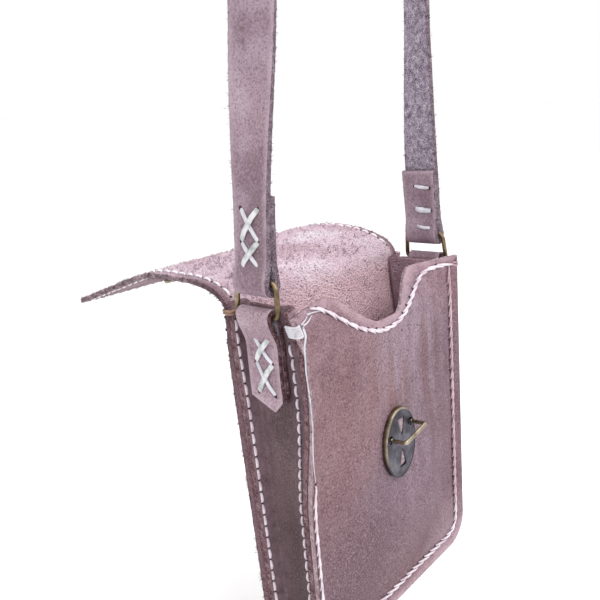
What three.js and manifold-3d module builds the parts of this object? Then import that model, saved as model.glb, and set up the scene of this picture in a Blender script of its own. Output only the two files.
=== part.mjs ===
// Leather phone bag with its flap thrown open, hung by its strap.
// Bag frame in millimetres: x to the right, y from the front seam to the back,
// z up from the panels' lower edge.
import * as THREE from 'three';
import { mergeVertices } from 'three/addons/utils/BufferGeometryUtils.js';
import Module from 'manifold-3d';

const wasm = await Module();
wasm.setup();

const gap = 0.3;

// Steps of the faceted curves
const arcSteps = 8;
const cornerSteps = 5;
const panelRows = 14;

// Body panels
const panelWidth = 135;
const panelHeight = 179;
const cornerRadius = 16;
const bodyLeather = 2.4;
const bottomDepth = 37.5;
const topDepth = 44;
const seamMargin = 9;
const seamFlare = 2;
const backFlare = 1.2;
const seamGap = 0.7;
const belly = { forward: 2.5, over: 45 };
const leftSeamBow = { forward: 6.6, rise: 18, fadeFrom: 35, fadeOver: 65, fromX: -10 };

// Top edge of the front panel: a scoop between two ears that bend inward
const scoopDepth = 17.5;
const scoopFloor = 6;
const scoopReach = 36;
const earBend = 11;
const earFold = 20;
const earShoulder = 34;

// Gusset
const webInset = 7.5;
const flangeWidth = 4;
const flangeBend = { start: 0.9, sag: 0.1, turn: 1.2, innerTurn: 1.8 };
const webBulge = { outward: 3, from: 90, over: 70, shoulder: 6 };
const seamFade = { from: 130, over: 40 };
const flareFade = { from: 158, over: 20 };
const gussetTop = { left: panelHeight + 2.5, right: panelHeight - 2 };

// Back panel's levels, then the flap from the back's top edge to its free end
const backLevels = [0, 60, 120, 160, panelHeight];
const flapSections = [
  { behind: 4, above: 4.3 },
  { behind: 9, above: 6.6 },
  { behind: 20.6, above: 8.9 },
  { behind: 34, above: 9.2 },
  { behind: 50, above: 9.2 },
  { behind: 60, above: 8.2 },
  { behind: 70, above: 5.8 },
  { behind: 88, above: 0.2 },
  { behind: 106, above: -5.4 },
  { behind: 124, above: -11 },
  { behind: 142, above: -16.6 },
];
const rightRise = { height: 3.5, fromX: 5, overX: 40, overLength: 50, fadeFrom: 65, fadeOver: 35 };
const flapBend = { before: 12, after: 28 };
const flapSlotLength = 121;
const flapSlot = { width: 23, height: 7 };

// Strap, tabs and rings
const strapWidth = 20;
const strapLeather = 2.8;
const strapFold = 37.5;
const strapRun = 451.7;
const strapLean = THREE.MathUtils.degToRad(5.3);
const strapTwist = THREE.MathUtils.degToRad(25);
const twistSpan = { from: 17, over: 110, fadeFrom: 240, fadeOver: 170 };
const layersMeet = 12;
const hangTilt = THREE.MathUtils.degToRad(4.3);
const hangBend = 80;
const tabWidth = 20;
const tabLeather = 2.4;
const tabHeight = panelHeight - 0.3;
const tabStandOff = 1.5;
const tabInnerLength = 40;
const tabOuterLength = 44.7;
const tabPoint = { length: 5.5, lean: -4.5, width: 1.2 };
const tabRollFade = 14;
const rightDrop = { height: 2.8, from: 40, over: 320 };
const ringWire = 2.4;
const ringCentreY = 20.5;
const ringCorners = [
  { half: 12.9, height: 0, radius: 2.5 },
  { half: 11.6, height: 15.5, radius: 4.5 },
];
const wrapRadius = 3.3;
const wrapDrop = 2;

// Clasp
const plateWidth = 27;
const plateHeight = 39.2;
const plateThickness = 2.8;
const plateBevel = 0.5;
const claspHeight = panelHeight - 85;
const plateWindow = { x: 0.9, apex: 3, end: 13.6, half: 3 };
const loopCentre = { x: 0.2, y: 6.8 };
const loopTilt = THREE.MathUtils.degToRad(10.8);
const loopLift = THREE.MathUtils.degToRad(8);
const loopWidth = 20.2;
const loopReach = 10;
const loopBar = { thickness: 1.8, height: 2.2, bend: 2 };
const hingeEye = 1.3;
const hingeBore = 0.9;
const hingePin = 0.6;
const hingeSeat = 0.8;
const hingeSlot = { width: 2.6, height: 4.2 };

const halfWidth = panelWidth / 2;
const smooth = (t) => THREE.MathUtils.smoothstep(t, 0, 1);
const vector = (x, y, z) => new THREE.Vector3(x, y, z);

// Evenly spaced numbers, both ends included
function spread(from, to, steps) {
  return Array.from({ length: steps + 1 }, (_, i) => from + ((to - from) * i) / steps);
}

const grainLeather = { color: 0xa48a94, roughness: 0.62, metalness: 0 };
const gussetLeather = { color: 0x86707a, roughness: 0.66, metalness: 0 };
const antiqueBrass = { color: 0x8a7348, roughness: 0.38, metalness: 1 };
const darkBrass = { color: 0x5a5448, roughness: 0.42, metalness: 1 };

function piece(name, geometry, finish) {
  const mesh = new THREE.Mesh(geometry, new THREE.MeshStandardMaterial(finish));
  mesh.name = name;
  return mesh;
}

// Closed geometry from points and triangles, turned so that its faces point out
function solid(points, triangles) {
  const cross = vector(0, 0, 0);
  let volume = 0;
  for (const [a, b, c] of triangles) {
    volume += points[a].dot(cross.crossVectors(points[b], points[c]));
  }
  const outward = volume < 0 ? triangles.map(([a, b, c]) => [a, c, b]) : triangles;
  const geometry = new THREE.BufferGeometry().setFromPoints(points);
  geometry.setIndex(outward.flat());
  geometry.computeVertexNormals();
  return geometry;
}

// Skin over rings of equal count; a row of rings gets flat ends, a ring of rings closes on itself
function loft(rings, endOutline) {
  const sides = rings[0].length;
  const count = rings.length;
  const triangles = [];
  for (let i = 0; i < (endOutline ? count - 1 : count); i += 1) {
    for (let j = 0; j < sides; j += 1) {
      const next = (j + 1) % sides;
      const ahead = ((i + 1) % count) * sides;
      triangles.push([i * sides + j, i * sides + next, ahead + next]);
      triangles.push([i * sides + j, ahead + next, ahead + j]);
    }
  }
  if (endOutline) {
    const clockwise = THREE.ShapeUtils.isClockWise(endOutline);
    const far = (count - 1) * sides;
    for (const face of THREE.ShapeUtils.triangulateShape(endOutline, [])) {
      const [a, b, c] = clockwise ? [face[2], face[1], face[0]] : face;
      triangles.push([c, b, a], [far + a, far + b, far + c]);
    }
  }
  return solid(rings.flat(), triangles);
}

// Leather wall between a grid of points, column by column, and the same grid one thickness away
function leatherWall(columns, thickness) {
  const wide = columns.length;
  const tall = columns[0].length;
  const outer = columns.flat();
  const inner = [];
  for (let i = 0; i < wide; i += 1) {
    for (let j = 0; j < tall; j += 1) {
      const across = columns[Math.min(i + 1, wide - 1)][j].clone().sub(columns[Math.max(i - 1, 0)][j]);
      const along = columns[i][Math.min(j + 1, tall - 1)].clone().sub(columns[i][Math.max(j - 1, 0)]);
      inner.push(columns[i][j].clone().addScaledVector(across.cross(along).normalize(), thickness));
    }
  }
  const triangles = [];
  const quad = (a, b, c, d) => triangles.push([a, b, c], [a, c, d]);
  const at = (i, j) => i * tall + j;
  const under = (i, j) => at(i, j) + wide * tall;
  for (let i = 0; i < wide - 1; i += 1) {
    for (let j = 0; j < tall - 1; j += 1) {
      quad(at(i, j), at(i, j + 1), at(i + 1, j + 1), at(i + 1, j));
      quad(under(i, j), under(i + 1, j), under(i + 1, j + 1), under(i, j + 1));
    }
    quad(at(i, 0), at(i + 1, 0), under(i + 1, 0), under(i, 0));
    quad(at(i + 1, tall - 1), at(i, tall - 1), under(i, tall - 1), under(i + 1, tall - 1));
  }
  for (let j = 0; j < tall - 1; j += 1) {
    quad(at(0, j + 1), at(0, j), under(0, j), under(0, j + 1));
    quad(at(wide - 1, j), at(wide - 1, j + 1), under(wide - 1, j + 1), under(wide - 1, j));
  }
  return solid([...outer, ...inner], triangles);
}

// Joining and cutting of closed geometry
function toManifold(geometry) {
  const bare = geometry.clone();
  bare.deleteAttribute('normal');
  bare.deleteAttribute('uv');
  const merged = mergeVertices(bare, 1e-4);
  const vertProperties = Float32Array.from(merged.attributes.position.array);
  const triVerts = Uint32Array.from(merged.index.array);
  return new wasm.Manifold(new wasm.Mesh({ numProp: 3, vertProperties, triVerts }));
}

function toGeometry(manifold) {
  const { vertProperties, triVerts } = manifold.getMesh();
  const geometry = new THREE.BufferGeometry();
  geometry.setAttribute('position', new THREE.BufferAttribute(vertProperties, 3));
  geometry.setIndex(new THREE.BufferAttribute(triVerts, 1));
  geometry.computeVertexNormals();
  return geometry;
}

// Panel outline: columns across the width, close together where the corners are round
const columnsAcross = (() => {
  const flatHalf = halfWidth - cornerRadius;
  const turns = spread(0, Math.PI / 2, cornerSteps);
  const round = turns.map((angle) => flatHalf + cornerRadius * Math.sin(angle));
  const left = [...round].reverse().map((x) => -x);
  return [...left, ...spread(-flatHalf, flatHalf, 20).slice(1, -1), ...round];
})();

function cornerRise(x) {
  const past = Math.max(0, Math.abs(x) - (halfWidth - cornerRadius));
  return cornerRadius - Math.sqrt(Math.max(0, cornerRadius ** 2 - past ** 2));
}

// Distance in from the sewn edge, which runs down the sides and along the bottom
function edgeInset(x, z) {
  const sideways = Math.abs(x) - (halfWidth - cornerRadius);
  const down = cornerRadius - z;
  if (sideways > 0 && down > 0) {
    return cornerRadius - Math.hypot(sideways, down);
  }
  return Math.min(halfWidth - Math.abs(x), z);
}

const backDepth = (z) => bottomDepth + ((topDepth - bottomDepth) * z) / panelHeight;

// Forward bow of the left seam, below its ear
function seamBow(x, below) {
  const { forward, rise, fadeFrom, fadeOver, fromX } = leftSeamBow;
  const tall = smooth(below / rise) * (1 - smooth((below - fadeFrom) / fadeOver));
  return forward * tall * smooth((fromX - x) / (halfWidth + fromX));
}

// Outer face of the front panel: sewn margins stand forward, the middle swells, the ears bend in
function frontFace(x, z) {
  const inset = edgeInset(x, z);
  const below = panelHeight - z;
  const rise = THREE.MathUtils.clamp(1 - below / earFold, 0, 1);
  const ear = earBend * rise * smooth((halfWidth - Math.abs(x)) / (halfWidth - earShoulder));
  const swell = belly.forward * smooth(inset / belly.over);
  return seamFlare * smooth(inset / seamMargin) - swell + ear - seamBow(x, below);
}

// How far the back panel lies inside the plane of its back, with its sewn margins bent out behind it
function backRecess(inset, z) {
  const bent = (1 - Math.min(inset / seamMargin, 1)) ** 2;
  const inward = seamFlare * (1 - smooth((z - seamFade.from) / seamFade.over));
  const outward = backFlare * (1 - smooth((z - flareFade.from) / flareFade.over));
  return inward * (1 - bent) - outward * bent;
}

// Reach of the back flange's layers, longer where the margin slopes
function backReach(inset, z, reach) {
  const step = 0.5;
  const slope = (backRecess(inset + step, z) - backRecess(inset - step, z)) / (2 * step);
  return reach * Math.hypot(1, slope);
}

function scoopedTop(x) {
  const t = THREE.MathUtils.clamp((Math.abs(x) - scoopFloor) / (scoopReach - scoopFloor), 0, 1);
  return panelHeight - (scoopDepth * (1 + Math.cos(Math.PI * t))) / 2;
}

// Rows up the panel, close together at both ends
const rowsUp = spread(0, Math.PI, panelRows).map((angle) => (1 - Math.cos(angle)) / 2);

function frontPanel() {
  const columns = columnsAcross.map((x) => rowsUp.map((row) => {
    const z = THREE.MathUtils.lerp(cornerRise(x), scoopedTop(x), row);
    return vector(x, frontFace(x, z), z);
  }));
  return piece('front_panel', leatherWall(columns, -bodyLeather), grainLeather);
}

// Side view of the back panel and flap, as one line on the grain face
const backProfile = new THREE.CatmullRomCurve3([
  ...backLevels.map((z) => vector(0, backDepth(z), z)),
  ...flapSections.map((row) => vector(0, topDepth + row.behind, panelHeight + row.above)),
], false, 'centripetal');
backProfile.arcLengthDivisions = 800;
const profileLength = backProfile.getLength();
const backLength = Math.hypot(panelHeight, topDepth - bottomDepth);

function profilePoint(length) {
  return backProfile.getPointAt(THREE.MathUtils.clamp(length / profileLength, 0, 1));
}

function backFlapPoint(x, length) {
  const point = profilePoint(length);
  const along = length - backLength;
  point.x = x;
  if (along < 0) {
    point.y -= backRecess(edgeInset(x, point.z), point.z);
  } else {
    const { height, fromX, overX, overLength, fadeFrom, fadeOver } = rightRise;
    const crest = smooth(along / overLength) * (1 - smooth((along - fadeFrom) / fadeOver));
    point.z += height * smooth((x - fromX) / overX) * crest;
  }
  return point;
}

// Place on the flap's grain face, with local z pointing away from the leather and local y towards the bag
function flapPlace() {
  const here = profilePoint(backLength + flapSlotLength);
  const ahead = profilePoint(backLength + flapSlotLength + 1);
  const place = new THREE.Object3D();
  place.position.copy(here);
  place.rotation.x = Math.PI + Math.atan2(ahead.z - here.z, ahead.y - here.y);
  return place;
}

function slotPrism(width, height, depth) {
  const slot = new THREE.Shape();
  slot.absarc(height / 2 - width / 2, 0, height / 2, Math.PI / 2, (3 * Math.PI) / 2);
  slot.absarc(width / 2 - height / 2, 0, height / 2, -Math.PI / 2, Math.PI / 2);
  const prism = new THREE.ExtrudeGeometry(slot, { depth, bevelEnabled: false, curveSegments: 6 });
  return prism.translate(0, 0, -depth / 2);
}

function backFlap() {
  const bendStart = backLength - flapBend.before;
  const bendEnd = backLength + flapBend.after;
  const backRows = spread(0, Math.PI, arcSteps).map((angle) => (1 - Math.cos(angle)) / 2);
  const columns = columnsAcross.map((x) => {
    const rise = cornerRise(x);
    const back = backRows.map((row) => THREE.MathUtils.lerp(rise, bendStart, row));
    const bend = spread(bendStart, bendEnd, arcSteps).slice(1);
    const flap = spread(bendEnd, profileLength - rise, arcSteps + 1).slice(1);
    return [...back, ...bend, ...flap].map((length) => backFlapPoint(x, length));
  });
  const place = flapPlace();
  place.updateMatrix();
  const cutDepth = 5 * bodyLeather;
  const slot = slotPrism(flapSlot.width, flapSlot.height, cutDepth).applyMatrix4(place.matrix);
  const cut = toManifold(leatherWall(columns, bodyLeather)).subtract(toManifold(slot));
  return piece('back_flap', toGeometry(cut), grainLeather);
}

// Section of the gusset from the front seam to the back seam: flange, web, flange.
// Inset runs in from the sewn edge, step runs from the panel's inner face, bulge pushes the web out.
const gussetSection = (() => {
  const { start, sag, turn, innerTurn } = flangeBend;
  const outer = [
    { inset: 0, step: bodyLeather, bulge: 0 },
    { inset: flangeWidth, step: bodyLeather, bulge: 0 },
    { inset: webInset - start, step: bodyLeather + sag, bulge: 0 },
    { inset: webInset, step: bodyLeather + turn, bulge: 0 },
    { inset: webInset, step: bodyLeather + webBulge.shoulder, bulge: 1 },
  ];
  const inner = [
    { inset: webInset + bodyLeather, step: bodyLeather + webBulge.shoulder, bulge: 1 },
    { inset: webInset + bodyLeather, step: bodyLeather + turn, bulge: 0 },
    { inset: webInset + innerTurn, step: start, bulge: 0 },
    { inset: webInset, step: 0, bulge: 0 },
    { inset: flangeWidth, step: 0, bulge: 0 },
    { inset: 0, step: 0, bulge: 0 },
  ];
  const front = [...inner, ...outer].map((row) => ({ ...row, side: 'front' }));
  const back = [...front].reverse().map((row) => ({ ...row, side: 'back' }));
  return [...front, ...back];
})();

function gussetRing(x, z, normalX, normalZ) {
  return gussetSection.map(({ inset, step, bulge, side }) => {
    const out = inset - bulge * webBulge.outward * smooth((z - webBulge.from) / webBulge.over);
    const px = x - normalX * out;
    const pz = z - normalZ * out;
    const reach = bodyLeather + seamGap + step;
    if (side === 'front') {
      return vector(px, frontFace(px, pz) + reach, pz);
    }
    return vector(px, backDepth(pz) - backRecess(out, pz) - backReach(out, pz, reach), pz);
  });
}

// Stations of half the gusset, down one side (-1 left, 1 right) and round to the bottom's middle
function gussetHalf(side) {
  const flatHalf = halfWidth - cornerRadius;
  const levels = rowsUp.slice(1).map((row) => THREE.MathUtils.lerp(cornerRadius, panelHeight, row));
  const top = side < 0 ? gussetTop.left : gussetTop.right;
  const heights = [top, ...levels.filter((z) => z < top).reverse()];
  const down = heights.map((z) => gussetRing(side * halfWidth, z, side, 0));
  const round = spread(0, Math.PI / 2, cornerSteps + 1).map((angle) => {
    const out = side * Math.cos(angle);
    const below = -Math.sin(angle);
    return gussetRing(side * flatHalf + cornerRadius * out, cornerRadius * (1 + below), out, below);
  });
  const along = spread(flatHalf, 0, 4).slice(1).map((x) => gussetRing(side * x, 0, 0, -1));
  return [...down, ...round, ...along];
}

function gusset() {
  const left = gussetHalf(-1);
  const right = gussetHalf(1).slice(0, -1).reverse();
  const outline = left[0].map((point) => new THREE.Vector2(point.x, point.y));
  return piece('gusset', loft([...left, ...right], outline), gussetLeather);
}

// Sweep of a flat strip along a path in the x-z plane.
// Each station has a centre, a direction and edges in y.
function stripRings(stations, thickness) {
  return stations.map(({ x, z, angle, front, back, twist = 0 }) => {
    const acrossX = (-Math.sin(angle) * thickness) / 2;
    const acrossZ = (Math.cos(angle) * thickness) / 2;
    const middle = (front + back) / 2;
    const corner = (side, y) => {
      const point = vector(side * acrossX, y - middle, side * acrossZ);
      point.applyAxisAngle(vector(Math.cos(angle), 0, Math.sin(angle)), twist);
      return point.add(vector(x, middle, z));
    };
    return [corner(-1, front), corner(1, front), corner(1, back), corner(-1, back)];
  });
}

const stripOutline = [[0, 0], [1, 0], [1, 1], [0, 1]].map(([u, v]) => new THREE.Vector2(u, v));

// Stations along a path, with the direction worked out from the neighbours
function withDirections(path) {
  return path.map((point, i) => {
    const before = path[Math.max(i - 1, 0)];
    const after = path[Math.min(i + 1, path.length - 1)];
    return { ...point, angle: Math.atan2(after.z - before.z, after.x - before.x) };
  });
}

// Left tab: up the gusset's outer face, over the ring's bar and down again to a point
const tabInnerX = -(halfWidth - webInset + webBulge.outward) - gap - tabLeather / 2;
const tabRoll = ringWire / 2 + gap + tabLeather / 2;
const ringX = tabInnerX - tabStandOff - tabRoll;

function tab() {
  const outerX = tabInnerX - tabLeather - gap;
  const path = [];
  const edges = { front: ringCentreY - tabWidth / 2, back: ringCentreY + tabWidth / 2 };
  const add = (x, drop, sides = edges) => path.push({ x, z: tabHeight - drop, ...sides });
  const settle = (drop) => smooth(drop / tabRollFade);
  spread(tabInnerLength, 0, arcSteps).forEach((drop) => {
    add(tabInnerX - tabStandOff * (1 - settle(drop)), drop);
  });
  spread(0, Math.PI, arcSteps).slice(1).forEach((angle) => {
    add(ringX + tabRoll * Math.cos(angle), -tabRoll * Math.sin(angle));
  });
  spread(0, tabRollFade, cornerSteps).slice(1).forEach((drop) => {
    add(THREE.MathUtils.lerp(ringX - tabRoll, outerX, settle(drop)), drop);
  });
  const straight = tabOuterLength - tabPoint.length;
  spread(tabRollFade, straight, 3).slice(1).forEach((drop) => add(outerX, drop));
  const tip = ringCentreY + tabPoint.lean;
  spread(0, 1, 3).slice(1).forEach((t) => add(outerX, straight + tabPoint.length * t, {
    front: THREE.MathUtils.lerp(edges.front, tip - tabPoint.width / 2, t),
    back: THREE.MathUtils.lerp(edges.back, tip + tabPoint.width / 2, t),
  }));
  return loft(stripRings(withDirections(path), tabLeather), stripOutline);
}

// Left ring: a rounded loop of wire in its own plane, its lower bar at the origin, leaning in with the strap
function ring() {
  const [low, high] = ringCorners;
  const corners = [
    { y: -low.half, z: low.height, radius: low.radius },
    { y: low.half, z: low.height, radius: low.radius },
    { y: high.half, z: high.height, radius: high.radius },
    { y: -high.half, z: high.height, radius: high.radius },
  ];
  const path = [];
  corners.forEach((corner, i) => {
    const here = new THREE.Vector2(corner.y, corner.z);
    const [before, after] = [corners[(i + 3) % 4], corners[(i + 1) % 4]].map(
      (other) => new THREE.Vector2(other.y, other.z).sub(here).normalize(),
    );
    const half = Math.acos(before.dot(after)) / 2;
    const middle = before.clone().add(after).normalize();
    const centre = here.clone().addScaledVector(middle, corner.radius / Math.sin(half));
    const turn = Math.PI / 2 - half;
    spread(-turn, turn, cornerSteps).forEach((angle) => {
      const spoke = middle.clone().negate().rotateAround(new THREE.Vector2(), angle);
      path.push(centre.clone().addScaledVector(spoke, corner.radius));
    });
  });
  const rings = path.map((point, i) => {
    const previous = path[(i + path.length - 1) % path.length];
    const ahead = path[(i + 1) % path.length].clone().sub(previous).normalize();
    return spread(0, 2 * Math.PI, arcSteps).slice(0, -1).map((angle) => {
      const sideways = (ringWire / 2) * Math.cos(angle);
      const level = (ringWire / 2) * Math.sin(angle);
      return vector(level, point.x + ahead.y * sideways, point.y - ahead.x * sideways);
    });
  });
  return loft(rings).rotateY(strapLean).translate(ringX, ringCentreY, tabHeight);
}

// Strap: left half from the end of its fold, round the ring's upper bar and up to the top,
// then mirrored, with the right end sewn on a little lower
const ringTop = ringCorners[1].height - wrapDrop;
const wrapCentre = {
  x: ringX + ringTop * Math.sin(strapLean),
  z: tabHeight + ringTop * Math.cos(strapLean),
};
const layerOffset = (strapLeather + gap) / 2;

// A place beside the strap's line: up along it, out away from the bag
function besideStrap(up, out) {
  return {
    x: wrapCentre.x + up * Math.sin(strapLean) - out * Math.cos(strapLean),
    z: wrapCentre.z + up * Math.cos(strapLean) + out * Math.sin(strapLean),
  };
}

const runEnd = besideStrap(strapRun, layerOffset);
const archRadius = -runEnd.x / Math.cos(strapLean);
const archHeight = runEnd.z - archRadius * Math.sin(strapLean);

// Forward drift of the strap as the open flap tips the bag, worked out from the height over the ring
function strapDrift(z) {
  const height = Math.max(0, z - wrapCentre.z);
  const bent = Math.min(height, hangBend);
  return -Math.tan(hangTilt) * ((bent * bent) / (2 * hangBend) + Math.max(0, height - hangBend));
}

function strapStation({ x, z }) {
  const height = z - wrapCentre.z;
  const { from, over, fadeFrom, fadeOver } = twistSpan;
  const twist = strapTwist * smooth((height - from) / over) * (1 - smooth((height - fadeFrom) / fadeOver));
  const middle = ringCentreY + strapDrift(z);
  return { x, z, twist, front: middle - strapWidth / 2, back: middle + strapWidth / 2 };
}

function strap() {
  const left = [];
  const between = (up) => THREE.MathUtils.lerp(wrapRadius, layerOffset, smooth(up / layersMeet));
  spread(strapFold, layersMeet, 4).forEach((up) => left.push(besideStrap(up, -layerOffset)));
  spread(layersMeet, 0, 4).slice(1).forEach((up) => left.push(besideStrap(up, -between(up))));
  spread(0, Math.PI, arcSteps).slice(1, -1).forEach((angle) => {
    left.push(besideStrap(-wrapRadius * Math.sin(angle), -wrapRadius * Math.cos(angle)));
  });
  spread(0, layersMeet, 4).forEach((up) => left.push(besideStrap(up, between(up))));
  spread(layersMeet, strapFold, 4).slice(1).forEach((up) => left.push(besideStrap(up, layerOffset)));
  spread(strapFold, strapRun, 20).slice(1).forEach((up) => left.push(besideStrap(up, layerOffset)));
  spread(Math.PI - strapLean, Math.PI / 2, arcSteps).slice(1).forEach((angle) => {
    left.push({ x: archRadius * Math.cos(angle), z: archHeight + archRadius * Math.sin(angle) });
  });
  const half = left.map(strapStation);
  const right = half.slice(0, -1).reverse().map((station) => {
    const up = station.z - wrapCentre.z - rightDrop.from;
    const drop = rightDrop.height * (1 - smooth(up / rightDrop.over));
    return { ...station, x: -station.x, z: station.z - drop };
  });
  const stations = withDirections([...half, ...right]);
  return piece('strap', loft(stripRings(stations, strapLeather), stripOutline), grainLeather);
}

// The right-hand copy of a left-hand geometry, a little lower
function mirrored(geometry) {
  const points = [];
  const position = geometry.attributes.position;
  for (let i = 0; i < position.count; i += 1) {
    points.push(vector(-position.getX(i), position.getY(i), position.getZ(i) - rightDrop.height));
  }
  const triangles = [];
  for (let i = 0; i < geometry.index.count; i += 3) {
    triangles.push([0, 1, 2].map((k) => geometry.index.getX(i + k)));
  }
  return solid(points, triangles);
}

// Clasp frame: x to the right, y up, z out of the plate's back face
function ovalPlate(holes) {
  const oval = new THREE.Shape();
  oval.absellipse(0, 0, plateWidth / 2 - plateBevel, plateHeight / 2 - plateBevel, 0, 2 * Math.PI);
  oval.holes.push(...holes);
  const plate = new THREE.ExtrudeGeometry(oval, {
    depth: plateThickness - plateBevel,
    bevelEnabled: true,
    bevelThickness: plateBevel / 2,
    bevelSize: plateBevel,
    bevelSegments: 1,
    curveSegments: 18,
  });
  return plate.translate(0, 0, plateBevel / 2);
}

function wedgeWindow(direction) {
  const { x, apex, end, half } = plateWindow;
  const corners = [[x, apex], [x + half, end], [x - half, end]];
  return new THREE.Path(corners.map(([across, up]) => new THREE.Vector2(across, direction * up)));
}

// A bar along the hinge, which lies level with the plate's face
function hingeCylinder(radius, middleX, length) {
  const bar = new THREE.CylinderGeometry(radius, radius, length, 14);
  return bar.rotateZ(Math.PI / 2).translate(middleX, 0, plateThickness);
}

function toLoopPlace(geometry) {
  return geometry.rotateZ(loopTilt).translate(loopCentre.x, loopCentre.y, 0);
}

const legInner = loopWidth / 2 - loopBar.thickness;
const legMiddles = [-1, 1].map((side) => (side * (loopWidth - loopBar.thickness)) / 2);

// Plate: a slot under each leg of the loop, with a pin across it
function claspPlate() {
  let plate = toManifold(ovalPlate([wedgeWindow(1), wedgeWindow(-1)]));
  for (const legX of legMiddles) {
    const slot = new THREE.BoxGeometry(hingeSlot.width, hingeSlot.height, 3 * plateThickness);
    const pin = hingeCylinder(hingePin, legX, hingeSlot.width + 2 * hingeSeat);
    plate = plate.subtract(toManifold(toLoopPlace(slot.translate(legX, 0, 0))));
    plate = plate.add(toManifold(toLoopPlace(pin)));
  }
  return piece('clasp_plate', toGeometry(plate), darkBrass);
}

// Loop: two legs and a cross bar cut from one bent bar, with an eye at each foot
function claspLoop() {
  const { thickness, height, bend } = loopBar;
  const foot = 0;
  const top = loopReach;
  const bow = new THREE.Shape();
  bow.moveTo(-loopWidth / 2, foot);
  bow.absarc(bend - loopWidth / 2, top - bend, bend, Math.PI, Math.PI / 2, true);
  bow.absarc(loopWidth / 2 - bend, top - bend, bend, Math.PI / 2, 0, true);
  bow.lineTo(loopWidth / 2, foot);
  bow.lineTo(legInner, foot);
  bow.lineTo(legInner, top - thickness);
  bow.lineTo(-legInner, top - thickness);
  bow.lineTo(-legInner, foot);
  const bar = new THREE.ExtrudeGeometry(bow, { depth: height, bevelEnabled: false, curveSegments: 4 });
  bar.rotateX(Math.PI / 2).translate(0, height / 2, 0);
  bar.rotateX(-loopLift).translate(0, 0, plateThickness);
  let loop = toManifold(toLoopPlace(bar));
  for (const legX of legMiddles) {
    const eye = hingeCylinder(hingeEye, legX, thickness);
    const bore = hingeCylinder(hingeBore, legX, 2 * thickness);
    loop = loop.add(toManifold(toLoopPlace(eye))).subtract(toManifold(toLoopPlace(bore)));
  }
  return piece('clasp_loop', toGeometry(loop), antiqueBrass);
}

function flapPlate() {
  const half = flapSlot.height / 2;
  const end = flapSlot.width / 2 - half;
  const slot = new THREE.Path();
  slot.absarc(-end, 0, half, Math.PI / 2, (3 * Math.PI) / 2);
  slot.absarc(end, 0, half, -Math.PI / 2, Math.PI / 2);
  const plate = ovalPlate([slot]).translate(0, 0, gap);
  const place = flapPlace();
  place.updateMatrix();
  return piece('flap_plate', plate.applyMatrix4(place.matrix), antiqueBrass);
}

const clasp = new THREE.Group();
clasp.position.set(0, frontFace(0, claspHeight) - gap, claspHeight);
clasp.rotation.x = Math.PI / 2;
clasp.add(claspPlate(), claspLoop());

const bag = new THREE.Group();
bag.add(frontPanel(), backFlap(), gusset(), strap(), flapPlate(), clasp);
const leftTab = tab();
const leftRing = ring();
bag.add(piece('tab_left', leftTab, grainLeather), piece('tab_right', mirrored(leftTab), grainLeather));
bag.add(piece('ring_left', leftRing, antiqueBrass), piece('ring_right', mirrored(leftRing), antiqueBrass));

// The origin is under the strap's top, where the bag hangs, with the strap plumb
const hangHeight = archHeight + archRadius - strapLeather / 2;
bag.position.set(0, -(ringCentreY + strapDrift(hangHeight)), -hangHeight);
const hungBag = new THREE.Group();
hungBag.rotation.x = -hangTilt;
hungBag.add(bag);

export default hungBag;
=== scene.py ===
import math

import bmesh
import bpy
import numpy as np
from mathutils import Matrix, Vector, kdtree, noise


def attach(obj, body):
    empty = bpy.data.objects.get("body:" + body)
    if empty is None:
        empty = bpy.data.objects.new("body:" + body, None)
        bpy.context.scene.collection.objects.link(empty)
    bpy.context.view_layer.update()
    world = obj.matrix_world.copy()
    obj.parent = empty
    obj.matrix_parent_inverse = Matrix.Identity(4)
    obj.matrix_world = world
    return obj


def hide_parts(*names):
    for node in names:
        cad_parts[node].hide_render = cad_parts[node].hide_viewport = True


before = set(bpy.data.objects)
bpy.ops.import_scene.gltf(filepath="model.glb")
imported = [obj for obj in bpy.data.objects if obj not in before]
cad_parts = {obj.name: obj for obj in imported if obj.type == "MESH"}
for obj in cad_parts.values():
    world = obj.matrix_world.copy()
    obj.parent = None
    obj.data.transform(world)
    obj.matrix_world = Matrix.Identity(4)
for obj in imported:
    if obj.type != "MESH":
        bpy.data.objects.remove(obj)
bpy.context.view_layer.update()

scene = bpy.context.scene
dice = np.random.default_rng(7)

# the bag's own frame is in mm: x right, y from the front seam to the back, z up from the panels' lower edge
hanging = {"tilt": -4.3, "shift": (0.0, 12.08538, -665.51398)}
hungAxes = np.array(Matrix.Rotation(math.radians(hanging["tilt"]), 3, "X"))


def hung(points):  # bag frame in mm to the shared frame in metres
    return (np.asarray(points, float) + hanging["shift"]) @ hungAxes.T / 1000


def smooth(t):
    t = np.clip(t, 0, 1)
    return t * t * (3 - 2 * t)


def unit(vectors):
    return vectors / np.maximum(np.linalg.norm(vectors, axis=-1, keepdims=True), 1e-9)


def lengthsAlong(points):  # distance from a line's start to each of its points
    return np.concatenate([[0], np.cumsum(np.linalg.norm(np.diff(points, axis=0), axis=1))])


def along(points, step):  # evenly spaced places on a line
    points = np.asarray(points, float)
    lengths = lengthsAlong(points)
    marks = np.linspace(0, lengths[-1], max(2, round(lengths[-1] / step) + 1))
    return np.stack([np.interp(marks, lengths, column) for column in points.T], 1)


def stepsBetween(low, high, step):
    return np.linspace(low, high, max(2, int(round((high - low) / step)) + 1))


def turned(first, second, angle):  # two coordinates turned in their own plane
    across, up = math.cos(angle), math.sin(angle)
    return first * across - second * up, first * up + second * across


def waves(points, *layers):  # soft noise, one value a point; layers are (height, size, seed)
    total = 0
    for height, size, seed in layers:
        shift = Vector((seed * 3.7, seed * 1.9, seed * 5.3))
        values = [noise.noise(Vector(p) / size + shift) for p in np.reshape(points, (-1, 3))]
        total = total + height * np.array(values)
    return np.reshape(total, np.shape(points)[:-1])


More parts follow.
